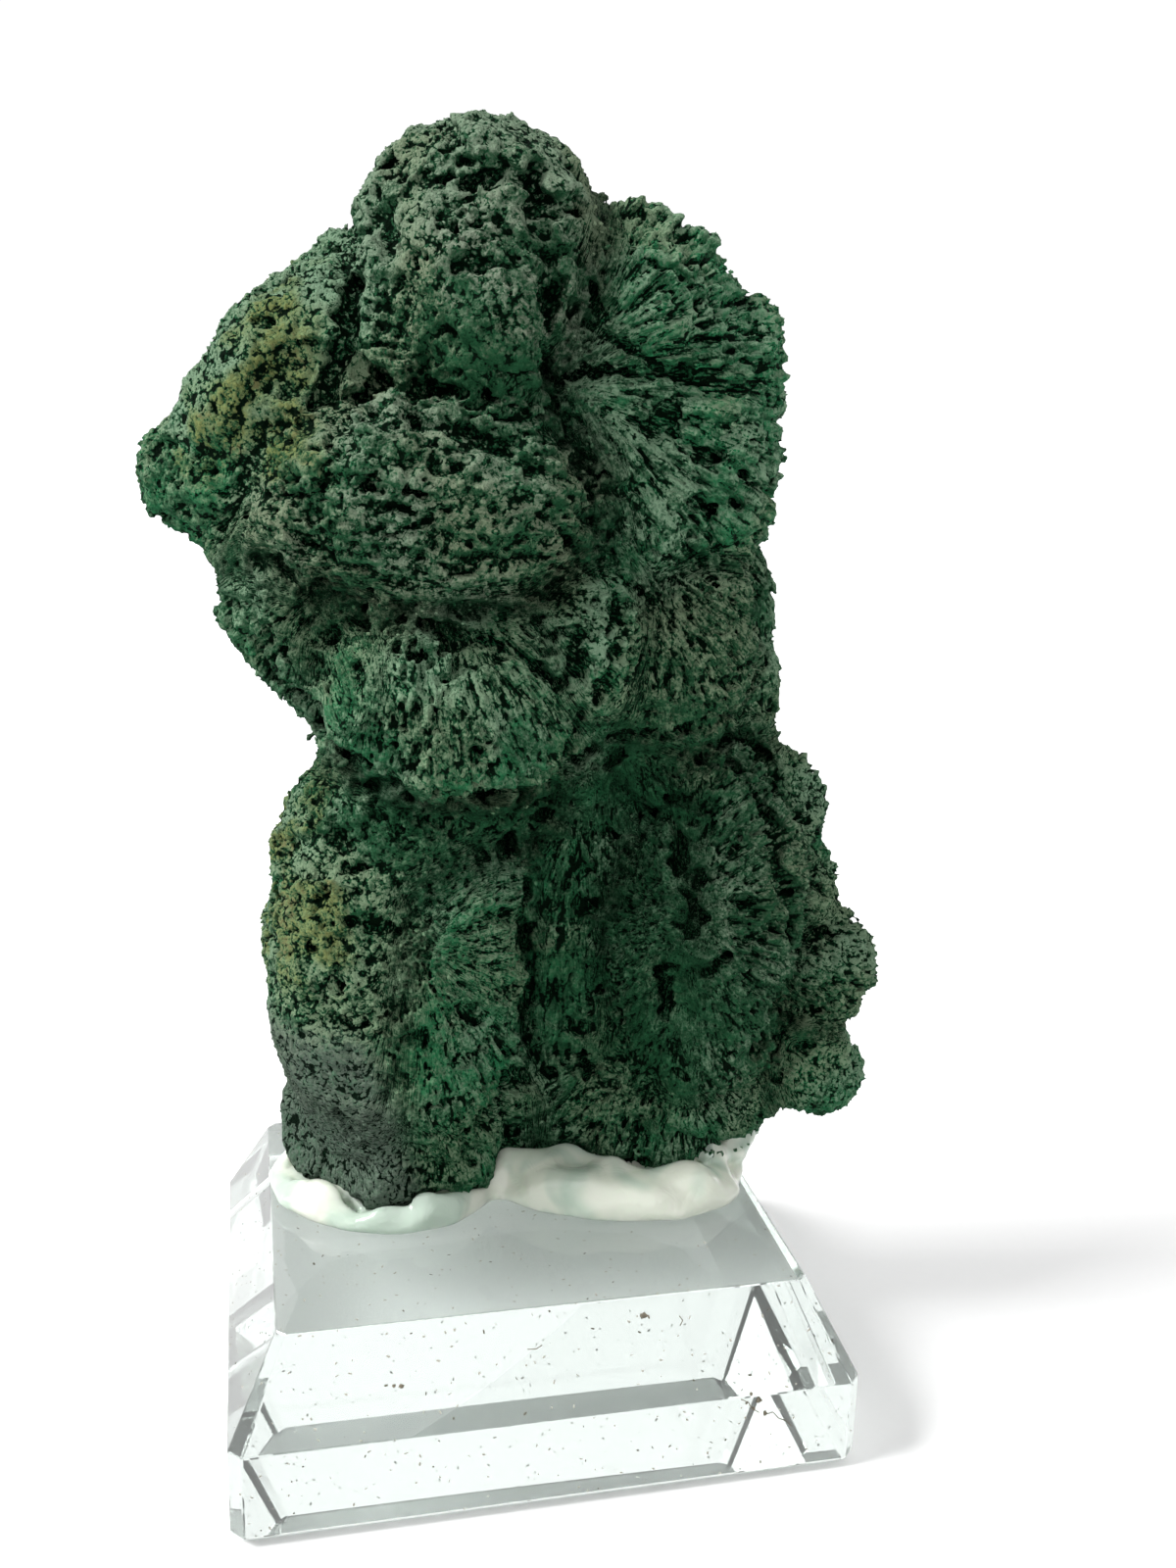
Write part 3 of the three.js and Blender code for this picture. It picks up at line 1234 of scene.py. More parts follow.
    def build(self) -> list[bpy.types.Object]:
        """Makes the stone and dresses it.

        Its surface is finer than one mesh may be, so it is made in slabs, one above another,
        whose edges tuck into each other.

        Returns:
            The finished slabs, lowest first.
        """
        self.cloud = Tile.cloud(seed=11)
        self.cell, self.chip = Tile.cells(seed=12)
        points, triangles = cad_mesh(Node.STONE)
        block = Field.around(points, triangles, self.step, 10 * self.step)
        filled = block.softened(self.crease).values + self.fill
        self.body = block.softened(self.edge)
        np.minimum(self.body.values, filled, out=self.body.values)
        self.grow()
        wide = self.body.softened(self.far)
        narrow = self.body.softened(self.close)
        dress = self.finish.material()
        made = []
        for number, slab in enumerate(self.body.slabs(self.slabs)):
            spots, quads = without_crumbs(*slab.surface(), self.least_faces)
            stone = make_object(f"malachite_stone_{number + 1}", spots, quads)
            LOG.info("slab %d: %d faces", number + 1, len(quads))
            thin_out(stone, self.most_triangles)
            self.mark(stone, wide, narrow)
            stone.data.materials.append(dress)
            made.append(stone)
        return made

    def grow(self) -> None:
        """Gives the smooth body its lumps, bundles, grains and pits."""
        batch = 400_000
        chosen, spots = self.body.near(self.body.reach * 0.98)
        values = self.body.values.ravel()
        for start in range(0, len(chosen), batch):
            part = slice(start, start + batch)
            values[chosen[part]] -= self.rise(spots[part])
        self.body.values = values.reshape(self.body.values.shape)

    def rise(self, spots: np.ndarray) -> np.ndarray:
        """How far the stone's surface stands out from its smooth body.

        Here and in relief, the numbers added to places keep the layers of noise from repeating
        one another.

        Args:
            spots: Places in millimetres.

        Returns:
            Heights in millimetres.
        """
        total = np.zeros(len(spots), np.float32)
        for row, patch in zip(self.shares(spots), self.patches.values()):
            mine = np.flatnonzero(row > 0.02)
            if len(mine):
                total[mine] += row[mine] * self.relief(spots[mine], patch)

        # Swells, and the low places made lower still
        broad = smooth(-0.15, 0.15, self.cloud.at(spots / 7.5 + 1.7))
        narrow = self.cloud.at(spots / 2.7 + 4.4)
        rough = self.cloud.at(spots / 0.8 + 1.4)
        total += 0.8 * broad + 0.14 * narrow + 0.1 * rough - 0.38
        total += np.minimum(total + 0.4, 0.0)

        # Ragged pits, gaps and clefts
        pit = np.array([3.4, 2.4, 1.8], np.float32)
        total -= 1.5 * smooth(1.1, 1.8, self.cloud.at(spots / pit + 3.3) + 0.45 * rough)
        for opening in [*self.gaps.values(), *self.clefts.values()]:
            total -= opening.depth(spots, self.cloud)

        # The back and the bare rock stay plainer
        plain = 1.0 - 0.65 * smooth(13.0, 17.5, spots[:, 1])
        plain *= 1.0 - 0.7 * self.facet(spots)
        return np.clip(total * plain + 0.2, self.lowest, self.highest)

    def shares(self, spots: np.ndarray) -> np.ndarray:
        """How much each patch has of each place.

        Args:
            spots: Places in millimetres.

        Returns:
            One row a patch, adding up to 1 at every place.
        """
        border = 0.7
        depth = np.array([patch.outside(spots) for patch in self.patches.values()])
        depth -= depth.min(axis=0)
        share = np.exp(-depth / border)
        return share / share.sum(axis=0)

    def relief(self, spots: np.ndarray, patch: Patch) -> np.ndarray:
        """How far one patch's own growth stands out.

        Args:
            spots: Places in millimetres.
            patch: The part of the stone.

        Returns:
            Heights in millimetres.
        """
        if patch.growth is Growth.CRUST:
            lump, grain, crumb = 2.5, 1.25, 0.7
            total = 0.4 * self.cell.at(spots / lump + 3.3)
            total += self.chunks(spots / grain + 8.2, 0.5, 0.55)
            total += self.chunks(spots / crumb + 6.1, 0.45, 0.4)
        elif patch.growth is Growth.LEDGE:
            drift = 0.3 * self.cloud.at(spots / 3.0)[:, None]
            shelf, grain = np.array([4.4, 4.0, 1.8], np.float32), 0.75
            total = self.chunks(spots / shelf + drift, 0.8, 0.6)
            total += self.chunks(spots / (0.42 * shelf) + drift + 5.1, 0.65, 0.5)
            total += 0.5 * self.cell.at(spots / grain + 6.1)
        else:
            drift = 0.25 * self.cloud.at(spots / 2.5)[:, None]
            total = self.chunks(patch.lie(spots, 1.7, 0.8) + drift, 0.7, 0.6)
            total += self.chunks(patch.lie(spots, 3.6, 0.45) + 7.7, 0.6, 0.45)
            total += 0.45 * self.cell.at(patch.lie(spots, 7.0, 0.25) + 3.1)
        return patch.rise * total

    def chunks(self, places: np.ndarray, rounded: float, flat: float) -> np.ndarray:
        """Heights of chunks that are partly rounded and partly flat-faced.

        Args:
            places: Where, in cells.
            rounded: How much of the rounded shape there is.
            flat: How much of the tilted faces.

        Returns:
            One height a place.
        """
        return rounded * self.cell.at(places) + flat * self.chip.at(places)

    @staticmethod
    def facet(spots: np.ndarray) -> np.ndarray:
        """How far each place is in the broken grey rock at the lower left.

        Args:
            spots: Places in millimetres.

        Returns:
            Numbers from 0 to 1.
        """
        low = smooth(43.0, 39.0, spots[:, 2])
        left = smooth(2.0, -2.0, spots[:, 0] + 13.0 - 0.28 * (31.0 - spots[:, 2]))
        return low * left

    def mark(self, stone: bpy.types.Object, wide: Field, narrow: Field) -> None:
        """Stores where the stone is proud, fresh, dusty, stained or bare rock.

        Args:
            stone: One of the stone's slabs.
            wide: The stone's distances with only its broad shapes.
            narrow: The same without its finest shapes.
        """
        spots = point_places(stone)
        ways = point_normals(stone)
        share = self.shares(spots)
        # How far a place stands out from its surroundings; the material paints shade in the low places and
        # highlights on the high ones from it
        proud = 0.5 + 0.75 * wide.at(spots) + 0.7 * narrow.at(spots)
        give(stone, "proud", np.clip(proud, 0.0, 1.0))
        for name in ("fresh", "dusty", "ashy"):
            amount = np.array([getattr(patch, name) for patch in self.patches.values()], np.float32)
            settled = 0.65 + 0.5 * ways[:, 2] if name == "dusty" else 1.0
            give(stone, name, amount @ share * settled)
        along = np.zeros_like(spots)
        fibrous = np.zeros(len(spots), np.float32)
        for row, patch in zip(share, self.patches.values()):
            if patch.growth is Growth.FAN:
                along += row[:, None] * patch.lie(spots, 2.4, 1.0)
                fibrous += row
            else:
                along += row[:, None] * spots / 1.3
        give(stone, "along", along)
        front = smooth(15.5, 12.0, spots[:, 1]) * smooth(20.0, 23.0, spots[:, 2])
        give(stone, "grainy", (0.9 - 0.6 * fibrous) * front)
        give(stone, "stain", self.stain(spots))
        behind = smooth(13.2, 15.5, spots[:, 1]) * smooth(0.1, 0.5, ways[:, 1])
        give(stone, "rock", np.clip(behind + 0.85 * self.facet(spots), 0.0, 1.0))

    def stain(self, spots: np.ndarray) -> np.ndarray:
        """How ochre each place is: patches on the shoulder and on the left of the lower half.

        Args:
            spots: Places in millimetres.

        Returns:
            Numbers from 0 to 1.
        """
        patchy = 0.8 * self.cloud.at(spots / 6.0 + 2.2) + 0.6 * self.cloud.at(spots / 2.2 + 5.2)
        high = smooth(88.0, 96.0, spots[:, 2]) * smooth(-16.5, -22.0, spots[:, 0])
        low = smooth(40.0, 48.0, spots[:, 2]) * smooth(70.0, 62.0, spots[:, 2])
        low = low * smooth(-14.5, -19.5, spots[:, 0])
        return np.clip(high + 0.9 * low, 0, 1) * smooth(-0.9, 0.8, patchy)


# Fine growth on the stone

HALF_TURN = 3.1  # Radians
MOST_POINTS = 6.0e6  # On a square metre, so that only their distance holds them back


class Tree:
    """A Geometry Nodes tree under construction."""

    def __init__(self, name: str, inputs: dict[str, float | int]) -> None:
        """Starts a tree that takes a mesh and named numbers.

        Args:
            name: The tree's name.
            inputs: The numbers' names and values.
        """
        self.group = bpy.data.node_groups.new(name, "GeometryNodeTree")
        self.inputs = inputs
        face = self.group.interface
        face.new_socket("Geometry", in_out="INPUT", socket_type="NodeSocketGeometry")
        for label, value in inputs.items():
            kind = "NodeSocketInt" if isinstance(value, int) else "NodeSocketFloat"
            face.new_socket(label, in_out="INPUT", socket_type=kind).default_value = value
        face.new_socket("Geometry", in_out="OUTPUT", socket_type="NodeSocketGeometry")
        self.start = self.add("NodeGroupInput")

    def add(
        self, kind: str, feeds: dict[Union[str, int], object] | None = None, **settings: object,
    ) -> bpy.types.Node:
        """Adds a node.

        Args:
            kind: The node's type name.
            feeds: What goes into its inputs, by name or number: sockets or values.
            settings: Its properties, which are set first.

        Returns:
            The node.
        """
        node = self.group.nodes.new(kind)
        for name, value in settings.items():
            setattr(node, name, value)
        for name, term in (feeds or {}).items():
            if isinstance(term, bpy.types.NodeSocket):
                self.group.links.new(term, node.inputs[name])
            else:
                node.inputs[name].default_value = term
        return node

    def scaled(self, vector: bpy.types.NodeSocket, by: bpy.types.NodeSocket) -> bpy.types.NodeSocket:
        """A vector made longer or shorter."""
        return self.add("ShaderNodeVectorMath", {0: vector, "Scale": by}, operation="SCALE").outputs[0]

    def any_vector(self, low: Point, high: Point, seed: int) -> bpy.types.NodeSocket:
        """A random vector for each point."""
        feeds = {0: low, 1: high, "Seed": seed}
        return self.add("FunctionNodeRandomValue", feeds, data_type="FLOAT_VECTOR").outputs[0]

    def crystal(self) -> bpy.types.NodeSocket:
        """A small round body with few faces, 1 metre in radius."""
        return self.add("GeometryNodeMeshIcoSphere", {"Radius": 1.0, "Subdivisions": 1}).outputs["Mesh"]

    def end(self, geometry: bpy.types.NodeSocket, material: bpy.types.Material) -> None:
        """Makes the instances real, gives them their material and closes the tree.

        Args:
            geometry: The instances.
            material: Their material.
        """
        real = self.add("GeometryNodeRealizeInstances", {"Geometry": geometry})
        flat = self.add("GeometryNodeSetShadeSmooth", {"Geometry": real.outputs[0], "Shade Smooth": False})
        dressed = self.add("GeometryNodeSetMaterial", {"Geometry": flat.outputs[0], "Material": material})
        self.add("NodeGroupOutput", {"Geometry": dressed.outputs[0]})

    def run(self, name: str, host: bpy.types.Object) -> bpy.types.Object:
        """Runs the tree on a copy of an object and keeps the result as a plain mesh.

        Args:
            name: The new object's name.
            host: The object that the tree grows on.

        Returns:
            The new object.
        """
        thing = bpy.data.objects.new(name, host.data.copy())
        bpy.context.scene.collection.objects.link(thing)
        modifier = thing.modifiers.new(name, "NODES")
        modifier.node_group = self.group
        for item in self.group.interface.items_tree:
            if item.in_out == "INPUT" and item.name in self.inputs:
                modifier[item.identifier] = self.inputs[item.name]
        settle(thing)
        LOG.info("%s: %d faces", name, len(thing.data.polygons))
        return thing


@dataclass(frozen=True)
class Grains:
    """Small angular crystals that crust the stone.

    Args:
        apart: The least distance between two of them.
        size: Half their width.
        sunk: How far they sit in the surface, as a share of that.
        seed: The random seed.
    """

    apart: float = 0.72
    size: float = 0.21
    sunk: float = 0.4
    seed: int = 5

    def build(self, name: str, stone: bpy.types.Object) -> bpy.types.Object:
        """Grows them on a part of the stone.

        Args:
            name: Their object's name.
            stone: The part of the stone.

        Returns:
            Their object.
        """
        tree = Tree(name, {
            "Apart": self.apart * MM,
            "Size": self.size * MM,
            "Sunk": -self.sunk * self.size * MM,
            "Seed": self.seed,
        })
        start = tree.start.outputs
        where = tree.add("GeometryNodeInputNamedAttribute", {"Name": "grainy"}, data_type="FLOAT")
        spread = tree.add("GeometryNodeDistributePointsOnFaces", {
            "Mesh": start["Geometry"], "Distance Min": start["Apart"], "Density Max": MOST_POINTS,
            "Density Factor": where.outputs["Attribute"], "Seed": start["Seed"],
        }, distribute_method="POISSON")
        sunk = tree.add("GeometryNodeSetPosition", {
            "Geometry": spread.outputs["Points"],
            "Offset": tree.scaled(spread.outputs["Normal"], start["Sunk"]),
        })
        # Every grain is marked as a tip, which the stone's material treats as raised: less painted shade,
        # more painted highlight
        bright = tree.add("GeometryNodeStoreNamedAttribute", {
            "Geometry": tree.crystal(), "Name": "tip", "Value": 1.0,
        }, data_type="FLOAT", domain="POINT")
        turn = tree.any_vector((-HALF_TURN,) * 3, (HALF_TURN,) * 3, seed=11)
        shape = tree.any_vector((0.55, 0.55, 0.6), (1.1, 1.25, 1.7), seed=12)
        placed = tree.add("GeometryNodeInstanceOnPoints", {
            "Points": sunk.outputs[0], "Instance": bright.outputs[0],
            "Rotation": turn, "Scale": tree.scaled(shape, start["Size"]),
        })
        tree.end(placed.outputs[0], stone.data.materials[0])
        return tree.run(name, stone)


# The glue


@dataclass
class GlueBed:
    """The bead of glue that the stone stands in.

    Args:
        step: The distance between the points of the grid that it is made on.
        loose: The radius that the bead is rounded to before it gets its folds.
        last: The radius that it is rounded to at the end.
        film: How thick the film is that creeps up the stone.
        foot: The height of its underside.
        rim: How high the film reaches, on average.
        climb: How much higher it reaches at the right.
        least_faces: The fewest faces that a loose bit of surface may have.
        most_triangles: The most triangles that it may have.
        finish: Its material.
    """

    step: float = 0.3
    loose: float = 0.45
    last: float = 0.3
    film: float = 0.4
    foot: float = 18.8
    rim: float = 20.8
    climb: float = 2.8
    least_faces: int = 300
    most_triangles: int = 90_000
    finish: GlueFinish = GlueFinish()

    def build(self, stone: Field) -> bpy.types.Object:
        """Makes the bead and dresses it.

        Args:
            stone: The stone's distances, which the glue creeps up to.

        Returns:
            The finished object.
        """
        cloud = Tile.cloud(seed=21)
        cell, _ = Tile.cells(seed=22)
        points, triangles = cad_mesh(Node.GLUE)
        bead = Field.around(points, triangles, self.step, 9 * self.step).softened(self.loose)
        spots = bead.places()
        height = spots[:, 2]
        fold = np.array([5.5, 2.2, 3.0], np.float32)
        folds = 0.3 * cloud.at(spots / 2.6) + 0.7 * cell.at(spots / fold)
        folds *= smooth(18.9, 20.0, height)
        rim = self.rim + 0.8 * cloud.at(spots / 3.5 + 5.0) + self.climb * smooth(13.0, 21.0, spots[:, 0])
        film = np.maximum(stone.at(spots) - self.film, np.maximum(height - rim, self.foot - height))
        values = np.minimum(bead.values.ravel() - folds, film).reshape(bead.values.shape)
        body = Field(values, bead.origin, bead.step, bead.reach).softened(self.last)
        spots, quads = without_crumbs(*body.surface(), self.least_faces)
        glue = make_object("glue_bead", spots, quads)
        LOG.info("glue surface: %d faces", len(quads))
        thin_out(glue, self.most_triangles)
        glue.data.materials.append(self.finish.material())
        return glue


# The glass base


@dataclass
class GlassBase:
    """The cut glass block.

    Args:
        ease: How far its arrises are softened.
        chips: Middles and half sizes of the small chips in its edges.
        finish: Its material.
    """

    ease: float = 0.16
    chips: tuple[tuple[Point, Point], ...] = (
        ((30.0, -24.6, 9.8), (0.7, 0.6, 0.8)),
        ((-29.8, -25.0, 1.2), (0.3, 0.5, 0.5)),
        ((29.8, -25.0, 2.6), (0.3, 0.3, 0.9)),
    )
    finish: GlassFinish = GlassFinish()

    def build(self) -> bpy.types.Object:
        """Makes the block with softened arrises and dresses it.

        Returns:
            The finished object.
        """
        points, triangles = cad_mesh(Node.GLASS)
        block = make_object("cut_glass_block", points, triangles)
        work = bmesh.new()
        work.from_mesh(block.data)
        flat = math.radians(1.0)
        bmesh.ops.dissolve_limit(work, angle_limit=flat, verts=work.verts, edges=work.edges)
        bmesh.ops.bevel(
            work, geom=list(work.edges), offset=self.ease * MM, segments=2, profile=0.6, affect="EDGES",
        )
        bmesh.ops.recalc_face_normals(work, faces=work.faces)
        work.to_mesh(block.data)
        work.free()
        for number, (at, half) in enumerate(self.chips):
            self.chip(block, at, half, number)
        block.data.shade_flat()
        block.data.materials.clear()
        block.data.materials.append(self.finish.material())
        return block

    def chip(self, block: bpy.types.Object, at: Point, half: Point, seed: int) -> None:
        """Breaks a small chip out of an edge.

        Args:
            block: The glass.
            at: The chip's middle.
            half: Its half sizes.
            seed: The random seed of its shape.
        """
        rng = np.random.default_rng(seed)
        work = bmesh.new()
        for vert in bmesh.ops.create_icosphere(work, subdivisions=2, radius=1.0)["verts"]:
            reach = float(rng.uniform(0.8, 1.1))
            vert.co = Vector([vert.co[k] * reach * half[k] + at[k] for k in range(3)]) * MM
        mesh = bpy.data.meshes.new("chip")
        work.to_mesh(mesh)
        work.free()
        cutter = bpy.data.objects.new("chip", mesh)
        bpy.context.scene.collection.objects.link(cutter)
        modifier = block.modifiers.new("chip", "BOOLEAN")
        modifier.operation = "DIFFERENCE"
        modifier.solver = "EXACT"
        modifier.object = cutter
        settle(block)
        bpy.data.objects.remove(cutter)
        bpy.data.meshes.remove(mesh)


# Dust and lint


@dataclass(frozen=True)
class Dust:
    """Fine dust that has settled on the glass.

    Args:
        name: Its object's name.
        finish: Its colours.
        apart: The least distance between two flecks.
        thick: How many flecks there are on a square metre.
        size: Half the width of a fleck.
        seed: The random seed.
    """

    name: str
    finish: PlainFinish
    apart: float
    thick: float
    size: float
    seed: int

    def build(self, glass: bpy.types.Object) -> bpy.types.Object:
        """Lays the dust on the glass.

        Args:
            glass: The glass block.

        Returns:
            The dust's object.
        """
        tree = Tree(self.name, {
            "Apart": self.apart * MM, "Size": self.size * MM, "Flecks": self.thick, "Seed": self.seed,
        })
        start = tree.start.outputs
        normal = tree.add("GeometryNodeInputNormal").outputs[0]
        facing = tree.add("ShaderNodeSeparateXYZ", {0: normal}).outputs["Z"]
        underside = -0.5
        open_side = tree.add("ShaderNodeMath", {0: facing, 1: underside}, operation="GREATER_THAN")
        spread = tree.add("GeometryNodeDistributePointsOnFaces", {
            "Mesh": start["Geometry"], "Selection": open_side.outputs[0],
            "Distance Min": start["Apart"], "Density Max": start["Flecks"], "Seed": start["Seed"],
        }, distribute_method="POISSON")
        shape = tree.any_vector((0.3, 0.3, 0.15), (1.0, 1.9, 0.3), seed=21)
        spin = tree.add("FunctionNodeRotateRotation", {
            "Rotation": spread.outputs["Rotation"],
            "Rotate By": tree.any_vector((-0.3, -0.3, -HALF_TURN), (0.3, 0.3, HALF_TURN), seed=22),
        }, rotation_space="LOCAL")
        placed = tree.add("GeometryNodeInstanceOnPoints", {
            "Points": spread.outputs["Points"], "Instance": tree.crystal(),
            "Rotation": spin.outputs[0], "Scale": tree.scaled(shape, start["Size"]),
        })
        tree.end(placed.outputs[0], self.finish.material())
        return tree.run(self.name, glass)


@dataclass(frozen=True)
class Lint:
    """Crumbs and fine hairs that cling to the glass.

    Args:
        crumbs: Middles and half widths of the crumbs.
        hairs: The points that each hair goes through.
        thick: Half the thickness of a hair.
        sides: How many sides a hair has.
        finish: Its colours.
    """

    crumbs: tuple[tuple[Point, float], ...] = (
        ((8.7, -21.25, 16.95), 0.34), ((9.2, -21.3, 16.8), 0.16), ((-15.1, -22.95, 13.7), 0.26),
        ((-14.4, -23.0, 13.6), 0.22), ((-15.8, -22.9, 13.8), 0.16), ((18.6, -24.95, 9.7), 0.22),
        ((19.4, -25.0, 9.0), 0.3), ((19.0, -25.0, 8.1), 0.2), ((20.1, -25.0, 7.4), 0.24),
        ((18.2, -25.0, 8.8), 0.14),
    )
    hairs: tuple[tuple[Point, ...], ...] = (
        (
            (20.2, -25.03, 7.3), (20.9, -25.1, 7.5), (21.5, -25.08, 6.7), (22.3, -25.05, 6.3),
            (22.9, -25.02, 5.6),
        ),
        ((17.6, -25.02, 9.3), (18.3, -25.15, 9.0), (18.7, -25.1, 8.2), (19.5, -25.03, 7.6)),
        ((-2.6, -22.05, 15.3), (-1.8, -22.1, 15.25), (-1.2, -21.95, 15.5)),
        ((12.2, -21.4, 16.6), (12.5, -21.6, 16.2), (12.2, -21.8, 15.8)),
    )
    thick: float = 0.045
    sides: int = 5
    finish: PlainFinish = PlainFinish("lint", (0.05, 0.05, 0.04), (0.26, 0.22, 0.16))

    def build(self) -> bpy.types.Object:
        """Makes the crumbs and hairs as one mesh.

        Returns:
            Their object.
        """
        work = bmesh.new()
        rng = np.random.default_rng(31)
        for at, half in self.crumbs:
            made = bmesh.ops.create_icosphere(work, subdivisions=2, radius=half * MM)["verts"]
            squeeze = rng.uniform(0.5, 1.4, 3)
            for vert in made:
                reach = float(rng.uniform(0.5, 1.1))
                vert.co = Vector([vert.co[k] * reach * squeeze[k] + at[k] * MM for k in range(3)])
        for route in self.hairs:
            self.thread(work, np.array(route))
        mesh = bpy.data.meshes.new("lint")
        work.to_mesh(mesh)
        work.free()
        thing = bpy.data.objects.new("lint", mesh)
        bpy.context.scene.collection.objects.link(thing)
        mesh.materials.append(self.finish.material())
        return thing

    def thread(self, work: bmesh.types.BMesh, route: np.ndarray) -> None:
        """Adds one closed hair.

        Args:
            work: The mesh.
            route: The points that it goes through, in millimetres.
        """
        steps = np.linspace(0.0, len(route) - 1.0, 6 * len(route))
        line = np.stack([np.interp(steps, np.arange(len(route)), route[:, k]) for k in range(3)], axis=1)
        rings = []
        for number, spot in enumerate(line):
            ahead = Vector(line[min(number + 1, len(line) - 1)] - line[max(number - 1, 0)]).normalized()
            side = ahead.cross(Vector((0.0, 1.0, 0.0))).normalized()
            above = side.cross(ahead)
            angles = [math.tau * k / self.sides for k in range(self.sides)]
            rings.append([
                work.verts.new((Vector(spot) + self.thick * (math.cos(a) * side + math.sin(a) * above)) * MM)
                for a in angles
            ])
        for first, second in zip(rings, rings[1:]):
            for k in range(self.sides):
                after = (k + 1) % self.sides
                work.faces.new((first[k], second[k], second[after], first[after]))
        work.faces.new(rings[0])
        work.faces.new(rings[-1][::-1])


# The studio


@dataclass(frozen=True)
class Camera:
    """The photograph's viewpoint, worked out from the base's edges.

    Args:
        at: The lens's place in millimetres.
        turn: Degrees round from straight ahead.
        tip: Degrees below the level.
        roll: Degrees of tilt of the frame.
        reach: The focal length in pixels of a frame 1600 pixels high.
        high: That height.
        sensor: The size of the sensor along that height, in millimetres.
    """

    at: Point = (-26.11, -142.14, 102.51)
    turn: float = 13.01
    tip: float = 14.94
    roll: float = 1.63
    reach: float = 1542.3
    high: float = 1600.0
    sensor: float = 36.0

    def build(self) -> None:
        """Makes the camera the scene's own."""
        data = bpy.data.cameras.new("camera")
        data.sensor_width = self.sensor
        data.lens = self.reach / self.high * self.sensor
        data.clip_start = 0.005
        data.clip_end = 20.0
        eye = bpy.data.objects.new("camera", data)
        bpy.context.scene.collection.objects.link(eye)
        turn, tip, roll = (math.radians(angle) for angle in (self.turn, self.tip, self.roll))
        ahead = np.array([math.sin(turn) * math.cos(tip), math.cos(turn) * math.cos(tip), -math.sin(tip)])
        level = np.array([math.cos(turn), -math.sin(turn), 0.0])
        upright = np.cross(level, ahead)
        right = math.cos(roll) * level + math.sin(roll) * upright
        above = -math.sin(roll) * level + math.cos(roll) * upright
        matrix = Matrix.Identity(4)
        for row in range(3):
            matrix[row][0], matrix[row][1], matrix[row][2] = right[row], above[row], -ahead[row]
            matrix[row][3] = self.at[row] * MM
        eye.matrix_world = matrix
        bpy.context.scene.camera = eye


@dataclass(frozen=True)
class Lamp:
    """A soft light so far away that it lights the whole floor alike.

    Args:
        name: Its name.
        comes_from: The way to it.
        power: Its strength in watts a square metre.
        softness: How wide it looks, in degrees.
    """

    name: str
    comes_from: Point
    power: float
    softness: float

    def build(self) -> None:
        """Puts the light in the scene."""
        data = bpy.data.lights.new(self.name, "SUN")
        data.energy = self.power
        data.angle = math.radians(self.softness)
        lamp = bpy.data.objects.new(self.name, data)
        bpy.context.scene.collection.objects.link(lamp)
        lamp.matrix_world = Vector(self.comes_from).to_track_quat("Z", "Y").to_matrix().to_4x4()


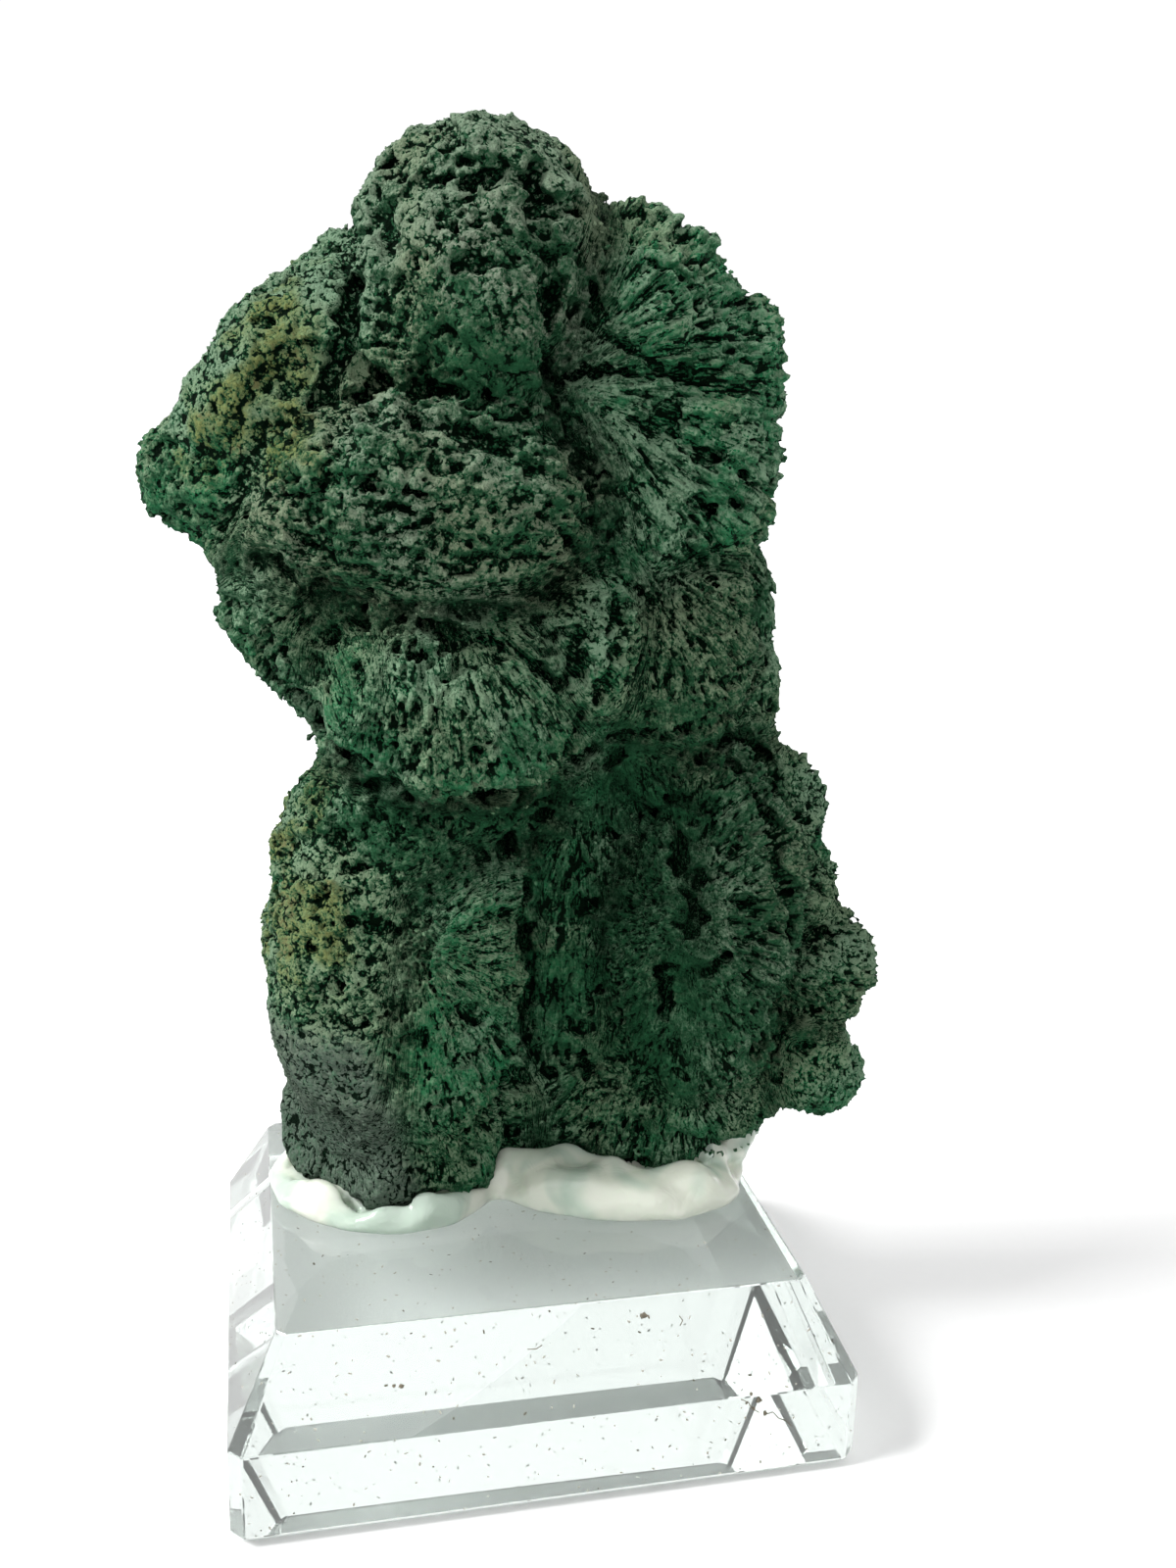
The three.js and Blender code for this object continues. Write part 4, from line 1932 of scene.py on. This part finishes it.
@dataclass
class Studio:
    """The pale floor, the soft light and the surround.

    Args:
        lamps: The lights.
        front_glow: How bright the surround is on the camera's side.
        back_glow: How bright it is behind the specimen.
        half_floor: Half the width of the floor.
        level: The floor's height, just clear of the base.
        paint: The floor's finish.
    """

    lamps: tuple[Lamp, ...] = (
        Lamp("key", (-0.8, -0.03, 0.8), 3.7, 20.0),
        Lamp("fill", (-0.15, -0.85, 0.8), 0.8, 60.0),
    )
    front_glow: float = 0.45
    back_glow: float = 1.05
    half_floor: float = 3000.0
    level: float = -0.05
    paint: PlainFinish = PlainFinish("floor", (0.9, 0.9, 0.9), (0.92, 0.92, 0.92), 0.8)

    def build(self) -> None:
        """Makes the floor, the lights and the world."""
        ways = ((-1, -1), (1, -1), (1, 1), (-1, 1))
        corners = np.array([[x * self.half_floor, y * self.half_floor, self.level] for x, y in ways])
        floor = make_object("floor", corners, np.array([[0, 1, 2, 3]]))
        floor.data.materials.append(self.paint.material())
        for lamp in self.lamps:
            lamp.build()
        self.surround()
        bpy.context.scene.view_settings.view_transform = "Standard"

    def surround(self) -> None:
        """Makes the world: white, and brighter behind the specimen than in front of it."""
        world = bpy.data.worlds.new("surround")
        bpy.context.scene.world = world
        world.use_nodes = True
        nodes, links = world.node_tree.nodes, world.node_tree.links
        way = nodes.new("ShaderNodeTexCoord")
        split = nodes.new("ShaderNodeSeparateXYZ")
        fade = nodes.new("ShaderNodeMapRange")
        fade.interpolation_type = "SMOOTHSTEP"
        for slot, value in (
            ("From Min", -0.5), ("From Max", 0.6), ("To Min", self.front_glow), ("To Max", self.back_glow),
        ):
            fade.inputs[slot].default_value = value
        back = nodes["Background"]
        back.inputs["Color"].default_value = (1.0, 1.0, 1.0, 1.0)
        links.new(way.outputs["Generated"], split.inputs[0])
        links.new(split.outputs["Y"], fade.inputs["Value"])
        links.new(fade.outputs[0], back.inputs["Strength"])


def attach(thing: bpy.types.Object, node: Node) -> None:
    """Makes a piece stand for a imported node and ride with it.

    Args:
        thing: The finished piece.
        node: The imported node.
    """
    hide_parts(node.value)
    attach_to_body(thing, "root")
    LOG.info("%s stands for %s with %d faces", thing.name, node.value, len(thing.data.polygons))


DARK_DUST = Dust(
    "dust_dark", PlainFinish("dust_dark", (0.05, 0.045, 0.035), (0.16, 0.14, 0.1)),
    apart=1.3, thick=38000.0, size=0.13, seed=41,
)
PALE_DUST = Dust(
    "dust_pale", PlainFinish("dust_pale", (0.5, 0.48, 0.42), (0.3, 0.28, 0.24)),
    apart=0.7, thick=160000.0, size=0.13, seed=42,
)


def main() -> None:
    """Builds the specimen and the studio."""
    logging.basicConfig(level=logging.INFO, format="%(message)s")
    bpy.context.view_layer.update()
    Camera().build()
    Studio().build()
    stone = Stone()
    grains = Grains()
    for number, slab in enumerate(stone.build()):
        attach(slab, Node.STONE)
        attach(grains.build(f"malachite_grains_{number + 1}", slab), Node.STONE)
    attach(GlueBed().build(stone.body), Node.GLUE)
    glass = GlassBase().build()
    attach(glass, Node.GLASS)
    for dust in (DARK_DUST, PALE_DUST):
        settled = dust.build(glass)
        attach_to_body(settled, "root")
        LOG.info("%s lies on %s", settled.name, Node.GLASS.value)
    lint = Lint().build()
    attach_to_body(lint, "root")
    LOG.info("%s clings to %s", lint.name, Node.GLASS.value)


if __name__ == "__main__":
    main()
